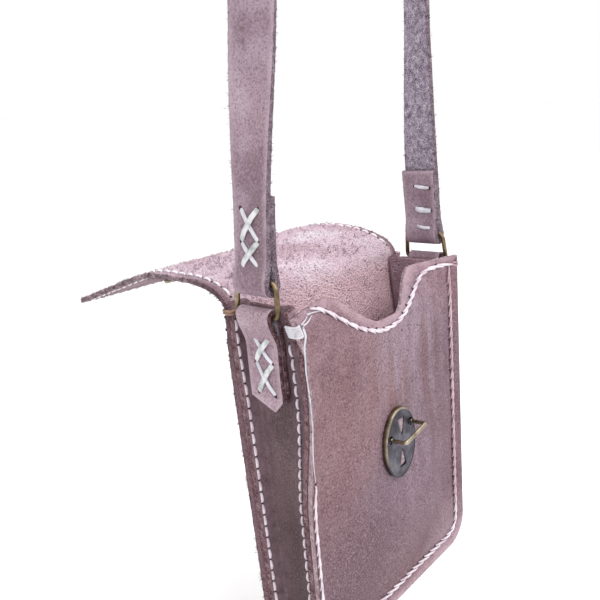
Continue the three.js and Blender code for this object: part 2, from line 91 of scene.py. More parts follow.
def reachTo(points, targets):  # distance from each point to the nearest target
    tree = kdtree.KDTree(len(targets))
    for i, target in enumerate(targets):
        tree.insert(target, i)
    tree.balance()
    return np.reshape([tree.find(p)[2] for p in np.reshape(points, (-1, 3))], np.shape(points)[:-1])


# camera, from the lines of the panels in the picture
viewpoint = {"place": (-0.248401, -0.195163, -0.396289), "turn": (71.9745, 1.7777, -47.8919), "lens": 38.433}
camera = bpy.data.objects.new("photoCamera", bpy.data.cameras.new("photoCamera"))
camera.data.lens = viewpoint["lens"]
camera.data.sensor_width = 36
camera.location = viewpoint["place"]
camera.rotation_euler = [math.radians(a) for a in viewpoint["turn"]]
scene.collection.objects.link(camera)
scene.camera = camera
scene.view_settings.view_transform = "Standard"
print("camera set")


# finishes; colours are screen colours in hex, and each helper adds its nodes beside the socket it is given
def paint(tone):  # to the linear colour that sockets take
    screen = [int(tone[i:i + 2], 16) / 255 for i in (0, 2, 4)]
    return (*(((c + 0.055) / 1.055) ** 2.4 if c > 0.04 else c / 12.92 for c in screen), 1.0)


def fill(node, sockets):  # links sockets, paints hex colours and sets all else
    for key, value in sockets.items():
        if isinstance(value, bpy.types.NodeSocket):
            node.id_data.links.new(value, node.inputs[key])
        else:
            node.inputs[key].default_value = paint(value) if isinstance(value, str) else value
    return node


def put(near, kind, sockets=None, **settings):
    made = near.id_data.nodes.new("ShaderNode" + kind)
    for key, value in settings.items():
        setattr(made, key, value)
    return fill(made, sockets or {})


def newFinish(name):
    finish = bpy.data.materials.new(name)
    finish.use_nodes = True
    shader = finish.node_tree.nodes["Principled BSDF"]
    return finish, shader, put(shader, "TexCoord").outputs["Object"]


def noiseAt(place, scale, detail=3.0, rough=0.55, stretch=None):
    if stretch:
        place = put(place, "Mapping", {"Vector": place, "Scale": stretch}).outputs[0]
    sockets = {"Vector": place, "Scale": scale, "Detail": detail, "Roughness": rough}
    return put(place, "TexNoise", sockets).outputs["Fac"]


def dotsAt(place, scale, feature="F1"):
    return put(place, "TexVoronoi", {"Vector": place, "Scale": scale}, feature=feature).outputs["Distance"]


def measured(place, name):  # a value that the mesh carries at its points
    return put(place, "Attribute", attribute_name=name).outputs["Fac"]


def ramp(value, *stops):  # stops are (position, colour)
    made = put(value, "ValToRGB", {"Fac": value})
    elements = made.color_ramp.elements
    while len(elements) < len(stops):
        elements.new(0.5)
    for element, (position, colour) in zip(elements, stops):
        element.position = position
        element.color = paint(colour)
    return made.outputs["Color"]


def mixColour(share, first, second):
    return put(share, "Mix", {0: share, 6: first, 7: second}, data_type="RGBA").outputs[2]


def spanOf(value, low, high, toLow=0.0, toHigh=1.0):
    sockets = {"Value": value, "From Min": low, "From Max": high, "To Min": toLow, "To Max": toHigh}
    return put(value, "MapRange", sockets, interpolation_type="SMOOTHSTEP").outputs[0]


def times(first, second):
    return put(first, "Math", {0: first, 1: second}, operation="MULTIPLY").outputs[0]


def distanceTo(place, spot):
    return put(place, "VectorMath", {0: place, 1: spot}, operation="DISTANCE").outputs["Value"]


def bumps(shader, *layers):  # layers are (height, strength, distance in m)
    normal = None
    for height, strength, distance in layers:
        sockets = {"Height": height, "Strength": strength, "Distance": distance}
        if normal:
            sockets["Normal"] = normal
        normal = put(shader, "Bump", sockets).outputs[0]
    fill(shader, {"Normal": normal})


# where the colour changes: heights and depths of the shared frame in m, margin in mm from the cut edge; they
# place painted shade low down, painted light just inside the pocket and painted shade deeper in it, and fade
# the rim's lightening low down
hide = {"low": (-0.52, -0.665), "rimWearAndLight": (-0.55, -0.515), "mouthLight": (-0.484, -0.5), "below": (-0.515, -0.545),
        "pocket": (0.06, 0.03), "margin": (6.5, 2.5), "drift": 0.05, "tonePatchCore": 0.01}


def withTonePatches(place, colour, tonePatches):  # broad patches of darker, warmer, cooler or paler colour
    drift = put(place, "TexNoise", {"Vector": place, "Scale": 22, "Detail": 3}).outputs["Color"]
    sockets = {0: drift, 1: [hide["drift"]] * 3, 2: place}
    drifted = put(place, "VectorMath", sockets, operation="MULTIPLY_ADD").outputs[0]
    for tonePatch in tonePatches:
        away = distanceTo(drifted, [c + hide["drift"] / 2 for c in tonePatch["at"]])
        share = spanOf(away, tonePatch["reach"], hide["tonePatchCore"], 0.0, tonePatch["share"])
        colour = mixColour(share, colour, tonePatch["colour"])
    return colour


def grainLeather(name, look):
    finish, shader, place = newFinish(name)
    clouds = noiseAt(place, look["cloudScale"], detail=6, rough=0.62)
    colour = ramp(clouds, (0.36, look["dark"]), (0.5, look["mid"]), (0.65, look["light"]))
    blotches = noiseAt(place, scale=13, rough=0.5)
    colour = mixColour(spanOf(blotches, 0.46, 0.64, 0.0, 0.55), colour, look["warm"])
    colour = withTonePatches(place, colour, look["tonePatches"])
    brushed = noiseAt(place, scale=150, detail=4, rough=0.6, stretch=(1, 1, 0.1))
    tall = put(place, "Mapping", {"Vector": place, "Scale": (1, 1, 0.55)}).outputs[0]
    patch = spanOf(distanceTo(tall, look["patch"]), look["patchReach"], 0.0, 0.03, look["patchShare"])
    colour = mixColour(times(spanOf(brushed, 0.36, 0.66), patch), colour, look["pulled"])
    height = put(place, "SeparateXYZ", {"Vector": place}).outputs["Z"]
    # painted shade: the grain darkens towards the bottom of the bag
    colour = mixColour(spanOf(height, *hide["low"], 0.0, look["lowShadeShare"]), colour, look["dark"])
    specks = noiseAt(place, look["speckScale"], rough=0.75)
    colour = mixColour(spanOf(specks, 0.51, 0.36, 0.0, look["speckShare"]), colour, look["speck"])
    colour = mixColour(spanOf(specks, 0.53, 0.66, 0.0, look["flecks"]), colour, look["light"])
    # the grain is lighter near the cut edge, in patches and less so low down: partly wear and partly painted
    # highlight
    wearAndHighlight = spanOf(noiseAt(place, scale=160, detail=4, rough=0.6), 0.3, 0.7, 0.3, 0.75)
    atRim = times(spanOf(measured(place, "rim"), look["rimReach"], 0.2), wearAndHighlight)
    atRim = times(atRim, spanOf(height, *hide["rimWearAndLight"], look["rimLow"], 1.0))
    rough = spanOf(clouds, 0.3, 0.7, look["rough"] + 0.08, look["rough"] - 0.08)
    colour = mixColour(atRim, colour, look["rim"])
    fill(shader, {"Base Color": colour, "Roughness": rough, "Specular IOR Level": 0.25})
    creases = noiseAt(place, scale=75, detail=5, rough=0.65)
    pores = dotsAt(place, 900, "SMOOTH_F1")
    bumps(shader, (creases, 0.4, 0.0012), (specks, 0.7, 0.0004), (pores, 0.4, 0.0003))
    return finish


def roughLeather(name, look):
    finish, shader, place = newFinish(name)
    clouds = noiseAt(place, look["cloudScale"], detail=5, rough=0.6)
    colour = ramp(clouds, (0.34, look["deep"]), (0.5, look["mid"]), (0.66, look["pale"]))
    nap = noiseAt(place, look["napScale"], detail=6, rough=0.78)
    colour = mixColour(spanOf(nap, 0.5, 0.74, 0.0, 0.6), colour, look["fibre"])
    axes = put(place, "SeparateXYZ", {"Vector": place}).outputs
    inPocket = spanOf(axes["Y"], *hide["pocket"], 0.0, look["mouthShare"])
    for tone in ("mouthLight", "below"):  # painted light just inside the pocket, then painted shade deeper in it
        colour = mixColour(times(spanOf(axes["Z"], *hide[tone]), inPocket), colour, look[tone])
    atRim = spanOf(measured(place, "rim"), *hide["margin"])
    colour = mixColour(times(atRim, look["marginShare"]), colour, look["deep"])
    # painted shade along the cut edge inside the pocket
    colour = mixColour(times(atRim, inPocket), colour, look["below"])
    uneven = noiseAt(place, look["pitScale"] * 0.35, detail=4, rough=0.7)
    sockets = {0: uneven, 1: -0.9, 2: dotsAt(place, look["pitScale"])}
    pits = put(place, "Math", sockets, operation="MULTIPLY_ADD").outputs[0]
    depth = spanOf(pits, look["pitEdge"], look["pitEdge"] - 0.12, 0.0, look["pitShare"])
    thinned = spanOf(noiseAt(place, scale=55), 0.38, 0.62, 0.35, 1.0)  # fewer in some patches
    colour = mixColour(times(depth, thinned), colour, look["pit"])
    fill(shader, {"Base Color": colour, "Roughness": 0.95, "Specular IOR Level": 0.12,
                  "Sheen Weight": look["sheen"], "Sheen Roughness": 0.6, "Sheen Tint": look["pale"]})
    bumps(shader, (clouds, 0.3, 0.002), (nap, look["relief"], 0.0007), (pits, look["relief"], 0.0006))
    return finish


frontTonePatches = [{"at": (-0.036, -0.03, -0.545), "reach": 0.07, "share": 0.75, "colour": "7e5c5e"},
               {"at": (0.02, -0.035, -0.6), "reach": 0.06, "share": 0.8, "colour": "7c6a79"},
               {"at": (0.012, -0.02, -0.515), "reach": 0.05, "share": 0.6, "colour": "8e7882"},
               {"at": (-0.04, -0.03, -0.64), "reach": 0.08, "share": 0.85, "colour": "624e5c"},
               {"at": (0.058, -0.03, -0.56), "reach": 0.08, "share": 0.95, "colour": "684e56"},
               {"at": (0.058, -0.04, -0.666), "reach": 0.05, "share": 0.9, "colour": "b6a0aa"}]
mauve = {"dark": "684d54", "mid": "846870", "light": "9e848d", "speck": "50363c", "warm": "826265",
         "pulled": "a092a2", "rim": "b89ca6", "rimReach": 7.5, "rimLow": 1.1, "lowShadeShare": 0.55,
         "cloudScale": 26, "speckScale": 1050, "speckShare": 0.85, "flecks": 0.75, "rough": 0.62,
         "patch": (0.022, -0.035, -0.3), "patchReach": 0.075, "patchShare": 0.6, "tonePatches": frontTonePatches}
gussetMauve = dict(mauve, dark="423337", mid="5c484d", light="766167", speck="3a2a2e", warm="644c4e",
                   pulled="70626a", rim="a48993", rimReach=17, rimLow=0.6, patchShare=0.15, lowShadeShare=0.95,
                   tonePatches=[])
strapMauve = dict(mauve, dark="806a74", mid="9a8592", light="b29faa", speck="68505c", warm="947880",
                  rim="b4a0aa", rimReach=3, rimLow=1.0, cloudScale=34, speckShare=0.65, flecks=0.5,
                  patchShare=0.15, lowShadeShare=0.0, tonePatches=[])
tabMauve = dict(strapMauve, dark="8e747e", mid="aa929c", light="c0acb5")
# the pocket's tones are painted light just inside its mouth and painted shade deeper in
paleFlesh = {"deep": "c2a5b0", "mid": "d5bcc8", "pale": "e3d5dd", "fibre": "f0e7ed", "pit": "704c5e",
             "below": "80636b", "mouthLight": "fdd7e0", "mouthShare": 0.9, "marginShare": 0.8, "sheen": 0.2,
             "cloudScale": 30, "napScale": 500, "pitScale": 950, "pitEdge": -0.05, "pitShare": 0.85,
             "relief": 1.2}
plainFlesh = dict(paleFlesh, mouthShare=0.0, marginShare=0.0)
gussetFlesh = dict(plainFlesh, deep="7e626d", mid="9e828d", pale="b498a2", fibre="c8b0b9", pit="543a44",
                   pitShare=0.4)
strapFlesh = dict(plainFlesh, deep="88788a", mid="b4a5b7", pale="d2c7d4", fibre="e4dae6", pit="5a485c",
                  cloudScale=300, napScale=700, pitScale=900, pitEdge=0.0, pitShare=0.5, relief=1.6)
cutEdge = dict(plainFlesh, deep="704e54", mid="947077", pale="b89aa0", fibre="decad0", pit="40262c",
               cloudScale=300, napScale=700, pitScale=1100, pitEdge=0.0, pitShare=0.55, relief=1.8, sheen=0.1)
paleEdge = dict(cutEdge, deep="b698a0", mid="d4b8c0", pale="e4ced5", fibre="e4d2d9", pit="684852")
tabEdge = dict(cutEdge, deep="5c3a40", mid="7a545a", pale="a8888e")
strapEdge = dict(cutEdge, deep="7e6a76", mid="988390", pale="b2a0ac", fibre="c4b6c2", pit="4e3a46")
grainMauve = grainLeather("grainMauve", mauve)
grainGusset = grainLeather("grainGusset", gussetMauve)
grainStrap = grainLeather("grainStrap", strapMauve)
grainTab = grainLeather("grainTab", tabMauve)
fleshPale = roughLeather("fleshPale", paleFlesh)
fleshStrap = roughLeather("fleshStrap", strapFlesh)
fleshGusset = roughLeather("fleshGusset", gussetFlesh)
edgeRaw = roughLeather("edgeRaw", cutEdge)
edgePale = roughLeather("edgePale", paleEdge)
# the back's cut edge takes the pocket's painted light and shade more strongly
edgeBack = roughLeather("edgeBack", dict(paleEdge, mouthShare=0.95))
edgeTab = roughLeather("edgeTab", tabEdge)
edgeStrap = roughLeather("edgeStrap", strapEdge)


def threadFinish(name, body, shade):
    finish, shader, place = newFinish(name)
    colour = ramp(noiseAt(place, scale=180, detail=4, rough=0.65), (0.34, shade), (0.58, body))
    fill(shader, {"Base Color": colour, "Roughness": 0.62, "Specular IOR Level": 0.3})
    bumps(shader, (noiseAt(place, scale=1500, detail=2, rough=0.5), 0.3, 0.0001))
    return finish


threadTones = {"White": ("e2d8df", "c2aeba"), "Bright": ("f6f2f5", "ded4da"), "Pink": ("c8aeb7", "a0828d"),
               "Cool": ("dcdbe3", "babac4"), "Dull": ("cecbd2", "aca6ae"), "Grey": ("dadadc", "969c9c"),
               "Tan": ("ba9882", "8c6c5c")}
thread = {name: threadFinish("thread" + name, *tones) for name, tones in threadTones.items()}


def brassFinish(name, look):
    finish, shader, place = newFinish(name)
    # tarnish in random patches
    tarnishAndShade = noiseAt(place, scale=130, detail=6, rough=0.65)
    # fine marks; on the plate they are stretched upright into streaks of painted reflection
    fine = noiseAt(place, scale=900, detail=4, rough=0.65, stretch=look.get("reflectionStretch"))
    colour = ramp(tarnishAndShade, (0.34, look["dark"]), (0.55, look["mid"]), (0.74, look["bright"]))
    colour = mixColour(spanOf(fine, 0.55, 0.75, 0.0, 0.4), colour, look["dark"])
    if "tarnishAndShade" in look:  # painted highlight: brass colour only at the rim's upper left, and the darker rim colour as painted shade elsewhere
        colour = mixColour(measured(place, "wearAndHighlight"), look["tarnishAndShade"], colour)
    rough = spanOf(tarnishAndShade, 0.35, 0.7, look["rough"] + 0.14, look["rough"] - 0.06)
    fill(shader, {"Base Color": colour, "Metallic": look["metal"], "Roughness": rough})
    bumps(shader, (fine, 0.12, 0.0001), (tarnishAndShade, 0.15, 0.0003))
    return finish


ringLook = {"dark": "544634", "mid": "88775d", "bright": "d0c2a8", "metal": 1.0, "rough": 0.3}
loopLook = dict(ringLook, dark="6c6252", mid="a09580", bright="ded4be")
plateLook = {"dark": "3a3740", "mid": "524e58", "bright": "706d72", "metal": 0.85, "rough": 0.42,
             "reflectionStretch": (1, 1, 0.04)}
antiqueBrass = brassFinish("antiqueBrass", ringLook)
loopBrass = brassFinish("loopBrass", loopLook)
# the rim's dark colour is painted shade away from its painted highlight
rimBrass = brassFinish("rimBrass", dict(loopLook, tarnishAndShade="423f42"))
darkBrass = brassFinish("darkBrass", plateLook)


# painted shade for the stitch holes: dark discs where a hole's inside is in shade
def holeFinish(name):
    finish, shader, place = newFinish(name)
    shade = ramp(noiseAt(place, scale=800, detail=2), (0.3, "2a1b1f"), (0.7, "463036"))
    fill(shader, {"Base Color": shade, "Roughness": 0.95})
    return finish


holeShade = holeFinish("holeShade")
print("finishes:", len(bpy.data.materials))


# mesh building
def newPiece(name, points, faces, finishes, slot, body="bag", indices=None):
    mesh = bpy.data.meshes.new(name)
    mesh.from_pydata(hung(points).tolist(), [], [list(map(int, f)) for f in faces])
    for finish in finishes:
        mesh.materials.append(finish)
    if indices is not None:
        mesh.polygons.foreach_set("material_index", np.asarray(indices, np.int32))
    mesh.polygons.foreach_set("use_smooth", np.ones(len(mesh.polygons), bool))
    skin = bmesh.new()
    skin.from_mesh(mesh)
    bmesh.ops.recalc_face_normals(skin, faces=skin.faces)
    skin.to_mesh(mesh)
    skin.free()
    made = bpy.data.objects.new(name, mesh)
    scene.collection.objects.link(made)
    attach(made, body)
    return made


def carry(made, name, values):  # gives the mesh one value a point
    made.data.attributes.new(name, "FLOAT", "POINT").data.foreach_set("value", np.asarray(values, np.float32))


cutEdges = {}  # outline of each cut leather piece, for its fuzz
edgeRows = ((0.1, 0.6), (0.36, 1.0), (0.64, 1.0), (0.9, 0.6))  # share of the thickness, share of the bulge


def sidesOf(quads):
    return {(q[k], q[(k + 1) % 4]) for q in quads.tolist() for k in range(4)}


def leatherPiece(name, cadNode, grain, flesh, finishes, slot, bulge, ragged, cut=None):
    rows, cols = grain.shape[:2]
    count = rows * cols
    index = np.arange(count).reshape(rows, cols)
    quads = np.stack([index[:-1, :-1], index[1:, :-1], index[1:, 1:], index[:-1, 1:]], -1).reshape(-1, 4)
    wall = []
    if cut is not None:  # the cut's own wall, from edges that a kept quad and a cut one share
        kept, gone = quads[~cut.ravel()], quads[cut.ravel()]
        keptSides = sidesOf(kept)
        wall = [(a, b, b + count, a + count) for b, a in sidesOf(gone) if (a, b) in keptSides]
        quads = kept
    loop = np.concatenate([index[:-1, 0], index[-1, :-1], index[:0:-1, -1], index[0, :0:-1]])
    top, under = grain.reshape(-1, 3), flesh.reshape(-1, 3)
    rim, rimUnder = top[loop], under[loop]
    outward = unit(np.cross(np.roll(rim, -1, 0) - np.roll(rim, 1, 0), rimUnder - rim))
    side, inside = index[rows // 2, :2]
    if outward[list(loop).index(side)] @ (top[inside] - top[side]) > 0:
        outward = -outward
    points, faces = [top, under], [quads, quads[:, ::-1] + count]
    indices = [0] * len(quads) + [1] * len(quads) + [2] * len(wall)
    if wall:
        faces.append(np.array(wall))
    edges = [loop]
    for share, swell in edgeRows:
        rough = ragged * waves(rim, (1, 1.1, share * 9 + 1), (1, 0.5, share * 5 + 2))
        edges.append(np.arange(len(loop)) + sum(map(len, points)))
        points.append(rim * (1 - share) + rimUnder * share + (bulge * swell + rough)[:, None] * outward)
    edges.append(loop + count)
    for upper, lower in zip(edges, edges[1:]):
        faces.append(np.stack([upper, lower, np.roll(lower, -1), np.roll(upper, -1)], -1))
        indices += [2] * len(loop)
    points = np.vstack(points)
    made = newPiece(name, points, np.vstack(faces), finishes, slot, indices=indices)
    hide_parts(cadNode)
    carry(made, "rim", reachTo(points, rim))  # mm to the cut edge
    cutEdges[name] = (rim, rimUnder, outward)
    return made


def facing(grid, wayY):  # unit normals of a panel's grid, turned to the given side of y
    normals = unit(np.cross(np.gradient(grid, axis=0), np.gradient(grid, axis=1)))
    return normals * np.sign(wayY * normals[len(grid) // 2, 20, 1])


# panel shapes
panel = {"width": 135.0, "height": 179.0, "corner": 16.0, "leather": 2.4, "seamGap": 0.7,
         "bottomDepth": 37.5, "topDepth": 44.0, "margin": 9.0, "flare": 2.0, "belly": 2.5, "bellyOver": 45.0,
         "bow": 6.6, "bowRise": 18.0, "bowFadeFrom": 35.0, "bowFadeOver": 65.0, "bowFromX": -10.0,
         "scoop": 17.5, "scoopFloor": 6.0, "scoopReach": 36.0,
         "earBend": 11.0, "earFold": 20.0, "earShoulder": 34.0, "seamFadeFrom": 130.0, "seamFadeOver": 40.0,
         "backFlare": 1.2, "flareFadeFrom": 158.0, "flareFadeOver": 20.0,
         "meshStep": 1.9, "groove": 0.3, "grooveWidth": 1.4}
halfWidth = panel["width"] / 2
flatHalf = halfWidth - panel["corner"]
throughSeam = 2 * panel["leather"] + panel["seamGap"]  # panel and flange together


def cornerRise(x):
    past = np.maximum(0, np.abs(x) - flatHalf)
    return panel["corner"] - np.sqrt(np.maximum(0, panel["corner"] ** 2 - past ** 2))


def edgeInset(x, z):  # distance in from the sewn edge
    sideways, down = np.abs(x) - flatHalf, panel["corner"] - z
    fromCorner = panel["corner"] - np.hypot(sideways, down)
    return np.where((sideways > 0) & (down > 0), fromCorner, np.minimum(halfWidth - np.abs(x), z))


def backDepth(z):
    return panel["bottomDepth"] + (panel["topDepth"] - panel["bottomDepth"]) * z / panel["height"]


def frontFace(x, z):
    inset, below = edgeInset(x, z), panel["height"] - z
    rise = np.clip(1 - below / panel["earFold"], 0, 1)
    ear = panel["earBend"] * rise * smooth((halfWidth - np.abs(x)) / (halfWidth - panel["earShoulder"]))
    fade = 1 - smooth((below - panel["bowFadeFrom"]) / panel["bowFadeOver"])
    tall = smooth(below / panel["bowRise"]) * fade
    bow = panel["bow"] * tall * smooth((panel["bowFromX"] - x) / (halfWidth + panel["bowFromX"]))
    swell = panel["belly"] * smooth(inset / panel["bellyOver"])
    return panel["flare"] * smooth(inset / panel["margin"]) - swell + ear - bow


def backRecess(inset, z):
    bent = (1 - np.minimum(inset / panel["margin"], 1)) ** 2
    inward = panel["flare"] * (1 - smooth((z - panel["seamFadeFrom"]) / panel["seamFadeOver"]))
    outward = panel["backFlare"] * (1 - smooth((z - panel["flareFadeFrom"]) / panel["flareFadeOver"]))
    return inward * (1 - bent) - outward * bent


def backFace(x, z):
    return backDepth(z) - backRecess(edgeInset(x, z), z)


def backFlange(inset, z, reach):  # y of the flange's layers, which lie on the sloping margin
    slope = backRecess(inset + 0.5, z) - backRecess(inset - 0.5, z)
    return backDepth(z) - backRecess(inset, z) - reach * np.hypot(1, slope)


def flangeFace(x, z):  # the gusset's side of the back seam
    return backFlange(edgeInset(x, z), z, throughSeam)


def scoopedTop(x):
    t = np.clip((np.abs(x) - panel["scoopFloor"]) / (panel["scoopReach"] - panel["scoopFloor"]), 0, 1)
    return panel["height"] - panel["scoop"] * (1 + np.cos(math.pi * t)) / 2


def acrossPanel():  # columns that crowd where the lower corners are round
    corner = flatHalf + panel["corner"] * np.sin(np.linspace(0, math.pi / 2, 18))
    return np.concatenate([-corner[::-1], stepsBetween(-flatHalf, flatHalf, panel["meshStep"])[1:-1], corner])


def seamLine(inset, top):  # down the left side, round the bottom, up the right side, as x and z
    reach = panel["corner"] - inset
    turns = np.linspace(0, math.pi / 2, 24)
    corner = np.stack([-flatHalf - reach * np.cos(turns), panel["corner"] - reach * np.sin(turns)], 1)
    side = np.stack([np.full(30, inset - halfWidth), np.linspace(top, panel["corner"], 31)[:-1]], 1)
    half = np.vstack([side, corner])
    return np.vstack([half, half[::-1] * (-1, 1)])


def onFace(face, line, out):  # points and outward normals of y = face(x, z) along a line of x and z
    x, z = line[:, 0], line[:, 1]
    step = 0.5
    slopeX = (face(x + step, z) - face(x - step, z)) / (2 * step)
    slopeZ = (face(x, z + step) - face(x, z - step)) / (2 * step)
    normals = unit(np.stack([-slopeX, np.ones_like(x), -slopeZ], 1)) * out
    return np.stack([x, face(x, z), z], 1), normals


def grooveAt(inset, line):  # the leather sinks along a line of stitches
    return panel["groove"] * np.exp(-((inset - line) / panel["grooveWidth"]) ** 2)


# stitches: each line is drawn once and used for the thread, its holes and the dents in the leather
sewing = {"frontInset": 6.6, "leftInset": 1.9, "leftTop": 106.0, "nearFrom": 10.0, "nearOver": 30.0,
          "backInset": 1.4, "backTop": 174.0, "flapInset": 5.0, "flapEnd": 3.0, "pitch": 6.3,
          "scoopPitch": 6.4, "thread": 1.15, "seamTop": 176.0, "webBehind": 13.7, "webTop": 166.0,
          "webLow": 24.0, "dent": 0.45, "flapDent": 0.2, "fleshDent": 0.5, "dentReach": 1.1}
# stitches under the scoop as x and z, read off the picture
scoopRoute = [(-50, 177.6), (-46, 177.2), (-39, 174.4), (-35, 170.9), (-31, 167.2), (-26, 163.5),
              (-18.5, 159.9), (-11, 157.4), (-2.5, 156.2), (5.5, 157.3), (12.5, 159.5), (18, 161.8),
              (23.5, 164.5), (29.5, 167.7), (36.5, 170.8), (43.7, 174.2), (50, 175), (66, 175)]


def frontSeamLine():  # closer to the edge on the left side, where its upper half is one loose strand
    line = seamLine(sewing["frontInset"], sewing["seamTop"])
    toEdge = sewing["frontInset"] - sewing["leftInset"]
    nearer = toEdge * smooth((line[:, 1] - sewing["nearFrom"]) / sewing["nearOver"]) * (line[:, 0] < 0)
    line = line - np.stack([nearer, 0 * nearer], 1)
    return line[(line[:, 0] > 0) | (line[:, 1] < sewing["leftTop"])]


def scoopLine():
    routeX, routeZ = np.transpose(scoopRoute)
    x = np.linspace(routeX[0], routeX[-1], 500)
    window = np.hanning(41)
    z = np.convolve(np.pad(np.interp(x, routeX, routeZ), 20, "edge"), window / window.sum(), "valid")
    return np.stack([x, z], 1)


frontStops = along(frontSeamLine(), sewing["pitch"])
backStops = along(seamLine(sewing["backInset"], sewing["backTop"]), sewing["pitch"])
scoopStops = along(scoopLine(), sewing["scoopPitch"])


def dented(points, stops, depth, away):  # presses the leather in at each hole
    return points + away * (depth * np.exp(-(reachTo(points, stops) / sewing["dentReach"]) ** 2))[..., None]


frontSkin = {"waves": ((0.4, 34, 1), (0.14, 9, 2)), "calmEdge": 8.0, "grooveFromX": -55.0, "sideRimWearAndLight": 6.0,
             "bulge": 0.25, "ragged": 0.2}
# the leather swells into the clasp's windows
windowSwell = {"x": 1.4, "heights": (85.2, 102.8), "across": 4.6, "tall": 6.4, "out": 2.3}


def frontPanel():
    x = acrossPanel()
    rows = np.concatenate([stepsBetween(0, 0.1, 0.006), stepsBetween(0.1, 0.9, 0.0075)[1:],
                           stepsBetween(0.9, 1, 0.006)[1:]])
    z = cornerRise(x)[:, None] + (scoopedTop(x) - cornerRise(x))[:, None] * rows
    grid = np.stack([np.broadcast_to(x[:, None], z.shape), frontFace(x[:, None], z), z], -1)
    away = facing(grid, 1)
    flesh = grid + away * panel["leather"]
    inset = edgeInset(grid[..., 0], z)
    groove = grooveAt(inset, sewing["frontInset"]) * (grid[..., 0] > frontSkin["grooveFromX"])
    soft = waves(grid, *frontSkin["waves"]) * smooth(inset / frontSkin["calmEdge"])
    grid = grid + away * (groove + soft)[..., None]
    stops = np.vstack([onFace(frontFace, line, -1)[0] for line in (frontStops, scoopStops)])
    grid = dented(grid, stops, sewing["dent"], away)
    swell = 0
    for height in windowSwell["heights"]:
        sideways = (grid[..., 0] - windowSwell["x"]) / windowSwell["across"]
        up = (grid[..., 2] - height) / windowSwell["tall"]
        swell = swell + np.exp(-sideways ** 4 - up ** 4)
    grid = grid - away * (windowSwell["out"] * swell)[..., None]
    finishes = [grainMauve, fleshPale, edgePale]
    made = leatherPiece("frontPanel", "front_panel", grid, flesh, finishes, "grain_leather",
                        frontSkin["bulge"], frontSkin["ragged"])
    for corner, reach in zip(made.data.vertices, made.data.attributes["rim"].data):
        toSide = halfWidth - abs(corner.co.x) * 1000
        if reach.value > 0.9 * toSide:  # the sides get less of the rim's lightening, partly wear and partly painted highlight, than the scoop
            reach.value += frontSkin["sideRimWearAndLight"]
    for face in np.flatnonzero((swell[:-1, :-1] + swell[1:, 1:]).ravel() > 0.7):  # painted light: the faces in the clasp's windows take the pale edge finish to read light in the windows' shade
        made.data.polygons[face].material_index = 2


frontPanel()
print("front panel made")

# back panel and flap, as one side view swept across the width
flap = {"levels": (0, 60, 120, 160, 179),
        "behind": (4, 9, 20.6, 34, 50, 60, 70, 88, 106, 124, 142),
        "above": (4.3, 6.6, 8.9, 9.2, 9.2, 8.2, 5.8, 0.2, -5.4, -11, -16.6),
        "rise": 3.5, "riseFromX": 5.0, "riseOverX": 40.0, "riseOverLength": 50.0,
        "fadeFrom": 65.0, "fadeOver": 35.0, "slotAt": 121.0, "slotWidth": 23.0, "slotHeight": 7.0,
        "meshStep": 1.5, "waves": ((0.45, 30, 4), (0.12, 8, 5)), "nap": ((0.32, 2.4, 6), (0.5, 13, 7)),
        "calmEdge": 7.0, "napFrom": 8.0, "bulge": 0.3, "ragged": 0.22}


def flapProfile():  # a smooth curve through the side view's places, as y and z
    knots = [(backDepth(z), z) for z in flap["levels"]]
    knots += [(panel["topDepth"] + b, panel["height"] + a) for b, a in zip(flap["behind"], flap["above"])]
    knots = np.array(knots, float)
    knots = np.vstack([2 * knots[0] - knots[1], knots, 2 * knots[-1] - knots[-2]])
    t = np.linspace(0, 1, 60)[:, None]
    curve = []
    for i in range(1, len(knots) - 2):
        p = knots[i - 1:i + 3]
        gaps = np.linalg.norm(np.diff(p, axis=0), axis=1) ** 0.5
        run = p[2] - p[1]
        first = ((p[1] - p[0]) / gaps[0] - (p[2] - p[0]) / (gaps[0] + gaps[1]) + run / gaps[1]) * gaps[1]
        last = (run / gaps[1] - (p[3] - p[1]) / (gaps[1] + gaps[2]) + (p[3] - p[2]) / gaps[2]) * gaps[1]
        square, cube = 3 * run - 2 * first - last, first + last - 2 * run
        curve.append(p[1] + first * t + square * t ** 2 + cube * t ** 3)
    curve = np.vstack(curve)
    return curve[np.concatenate([[True], np.linalg.norm(np.diff(curve, axis=0), axis=1) > 1e-6])]


sideView = flapProfile()
sideLengths = lengthsAlong(sideView)
sideLength = sideLengths[-1]
backLength = math.hypot(panel["height"], panel["topDepth"] - panel["bottomDepth"])
slotEnd, slotRadius = (flap["slotWidth"] - flap["slotHeight"]) / 2, flap["slotHeight"] / 2


def backFlapPoint(x, length):  # on the grain face
    length = np.clip(length, 0, sideLength)
    y, z = (np.interp(length, sideLengths, column) for column in sideView.T)
    past = length - backLength
    crest = smooth(past / flap["riseOverLength"]) * (1 - smooth((past - flap["fadeFrom"]) / flap["fadeOver"]))
    z = np.where(past > 0, z + flap["rise"] * smooth((x - flap["riseFromX"]) / flap["riseOverX"]) * crest, z)
    y = np.where(past < 0, y - backRecess(edgeInset(x, z), z), y)
    return np.stack(np.broadcast_arrays(x, y, z), -1)


def onFlap(line):  # line of x and length; points on the grain face and normals away from the flesh
    x, length = line[:, 0], line[:, 1]
    run = backFlapPoint(x, length + 0.5) - backFlapPoint(x, length - 0.5)
    across = backFlapPoint(x + 0.5, length) - backFlapPoint(x - 0.5, length)
    return backFlapPoint(x, length), unit(np.cross(run, across))


flapLine = seamLine(sewing["flapInset"], sideLength - backLength - sewing["flapEnd"])
flapStops = along(flapLine * (1, -1) + (0, sideLength), sewing["pitch"])


def slotOutline():
    turns = np.linspace(-math.pi / 2, math.pi / 2, 10)
    right = np.stack([slotEnd + slotRadius * np.cos(turns), slotRadius * np.sin(turns)], -1)
    return np.vstack([right, -right])


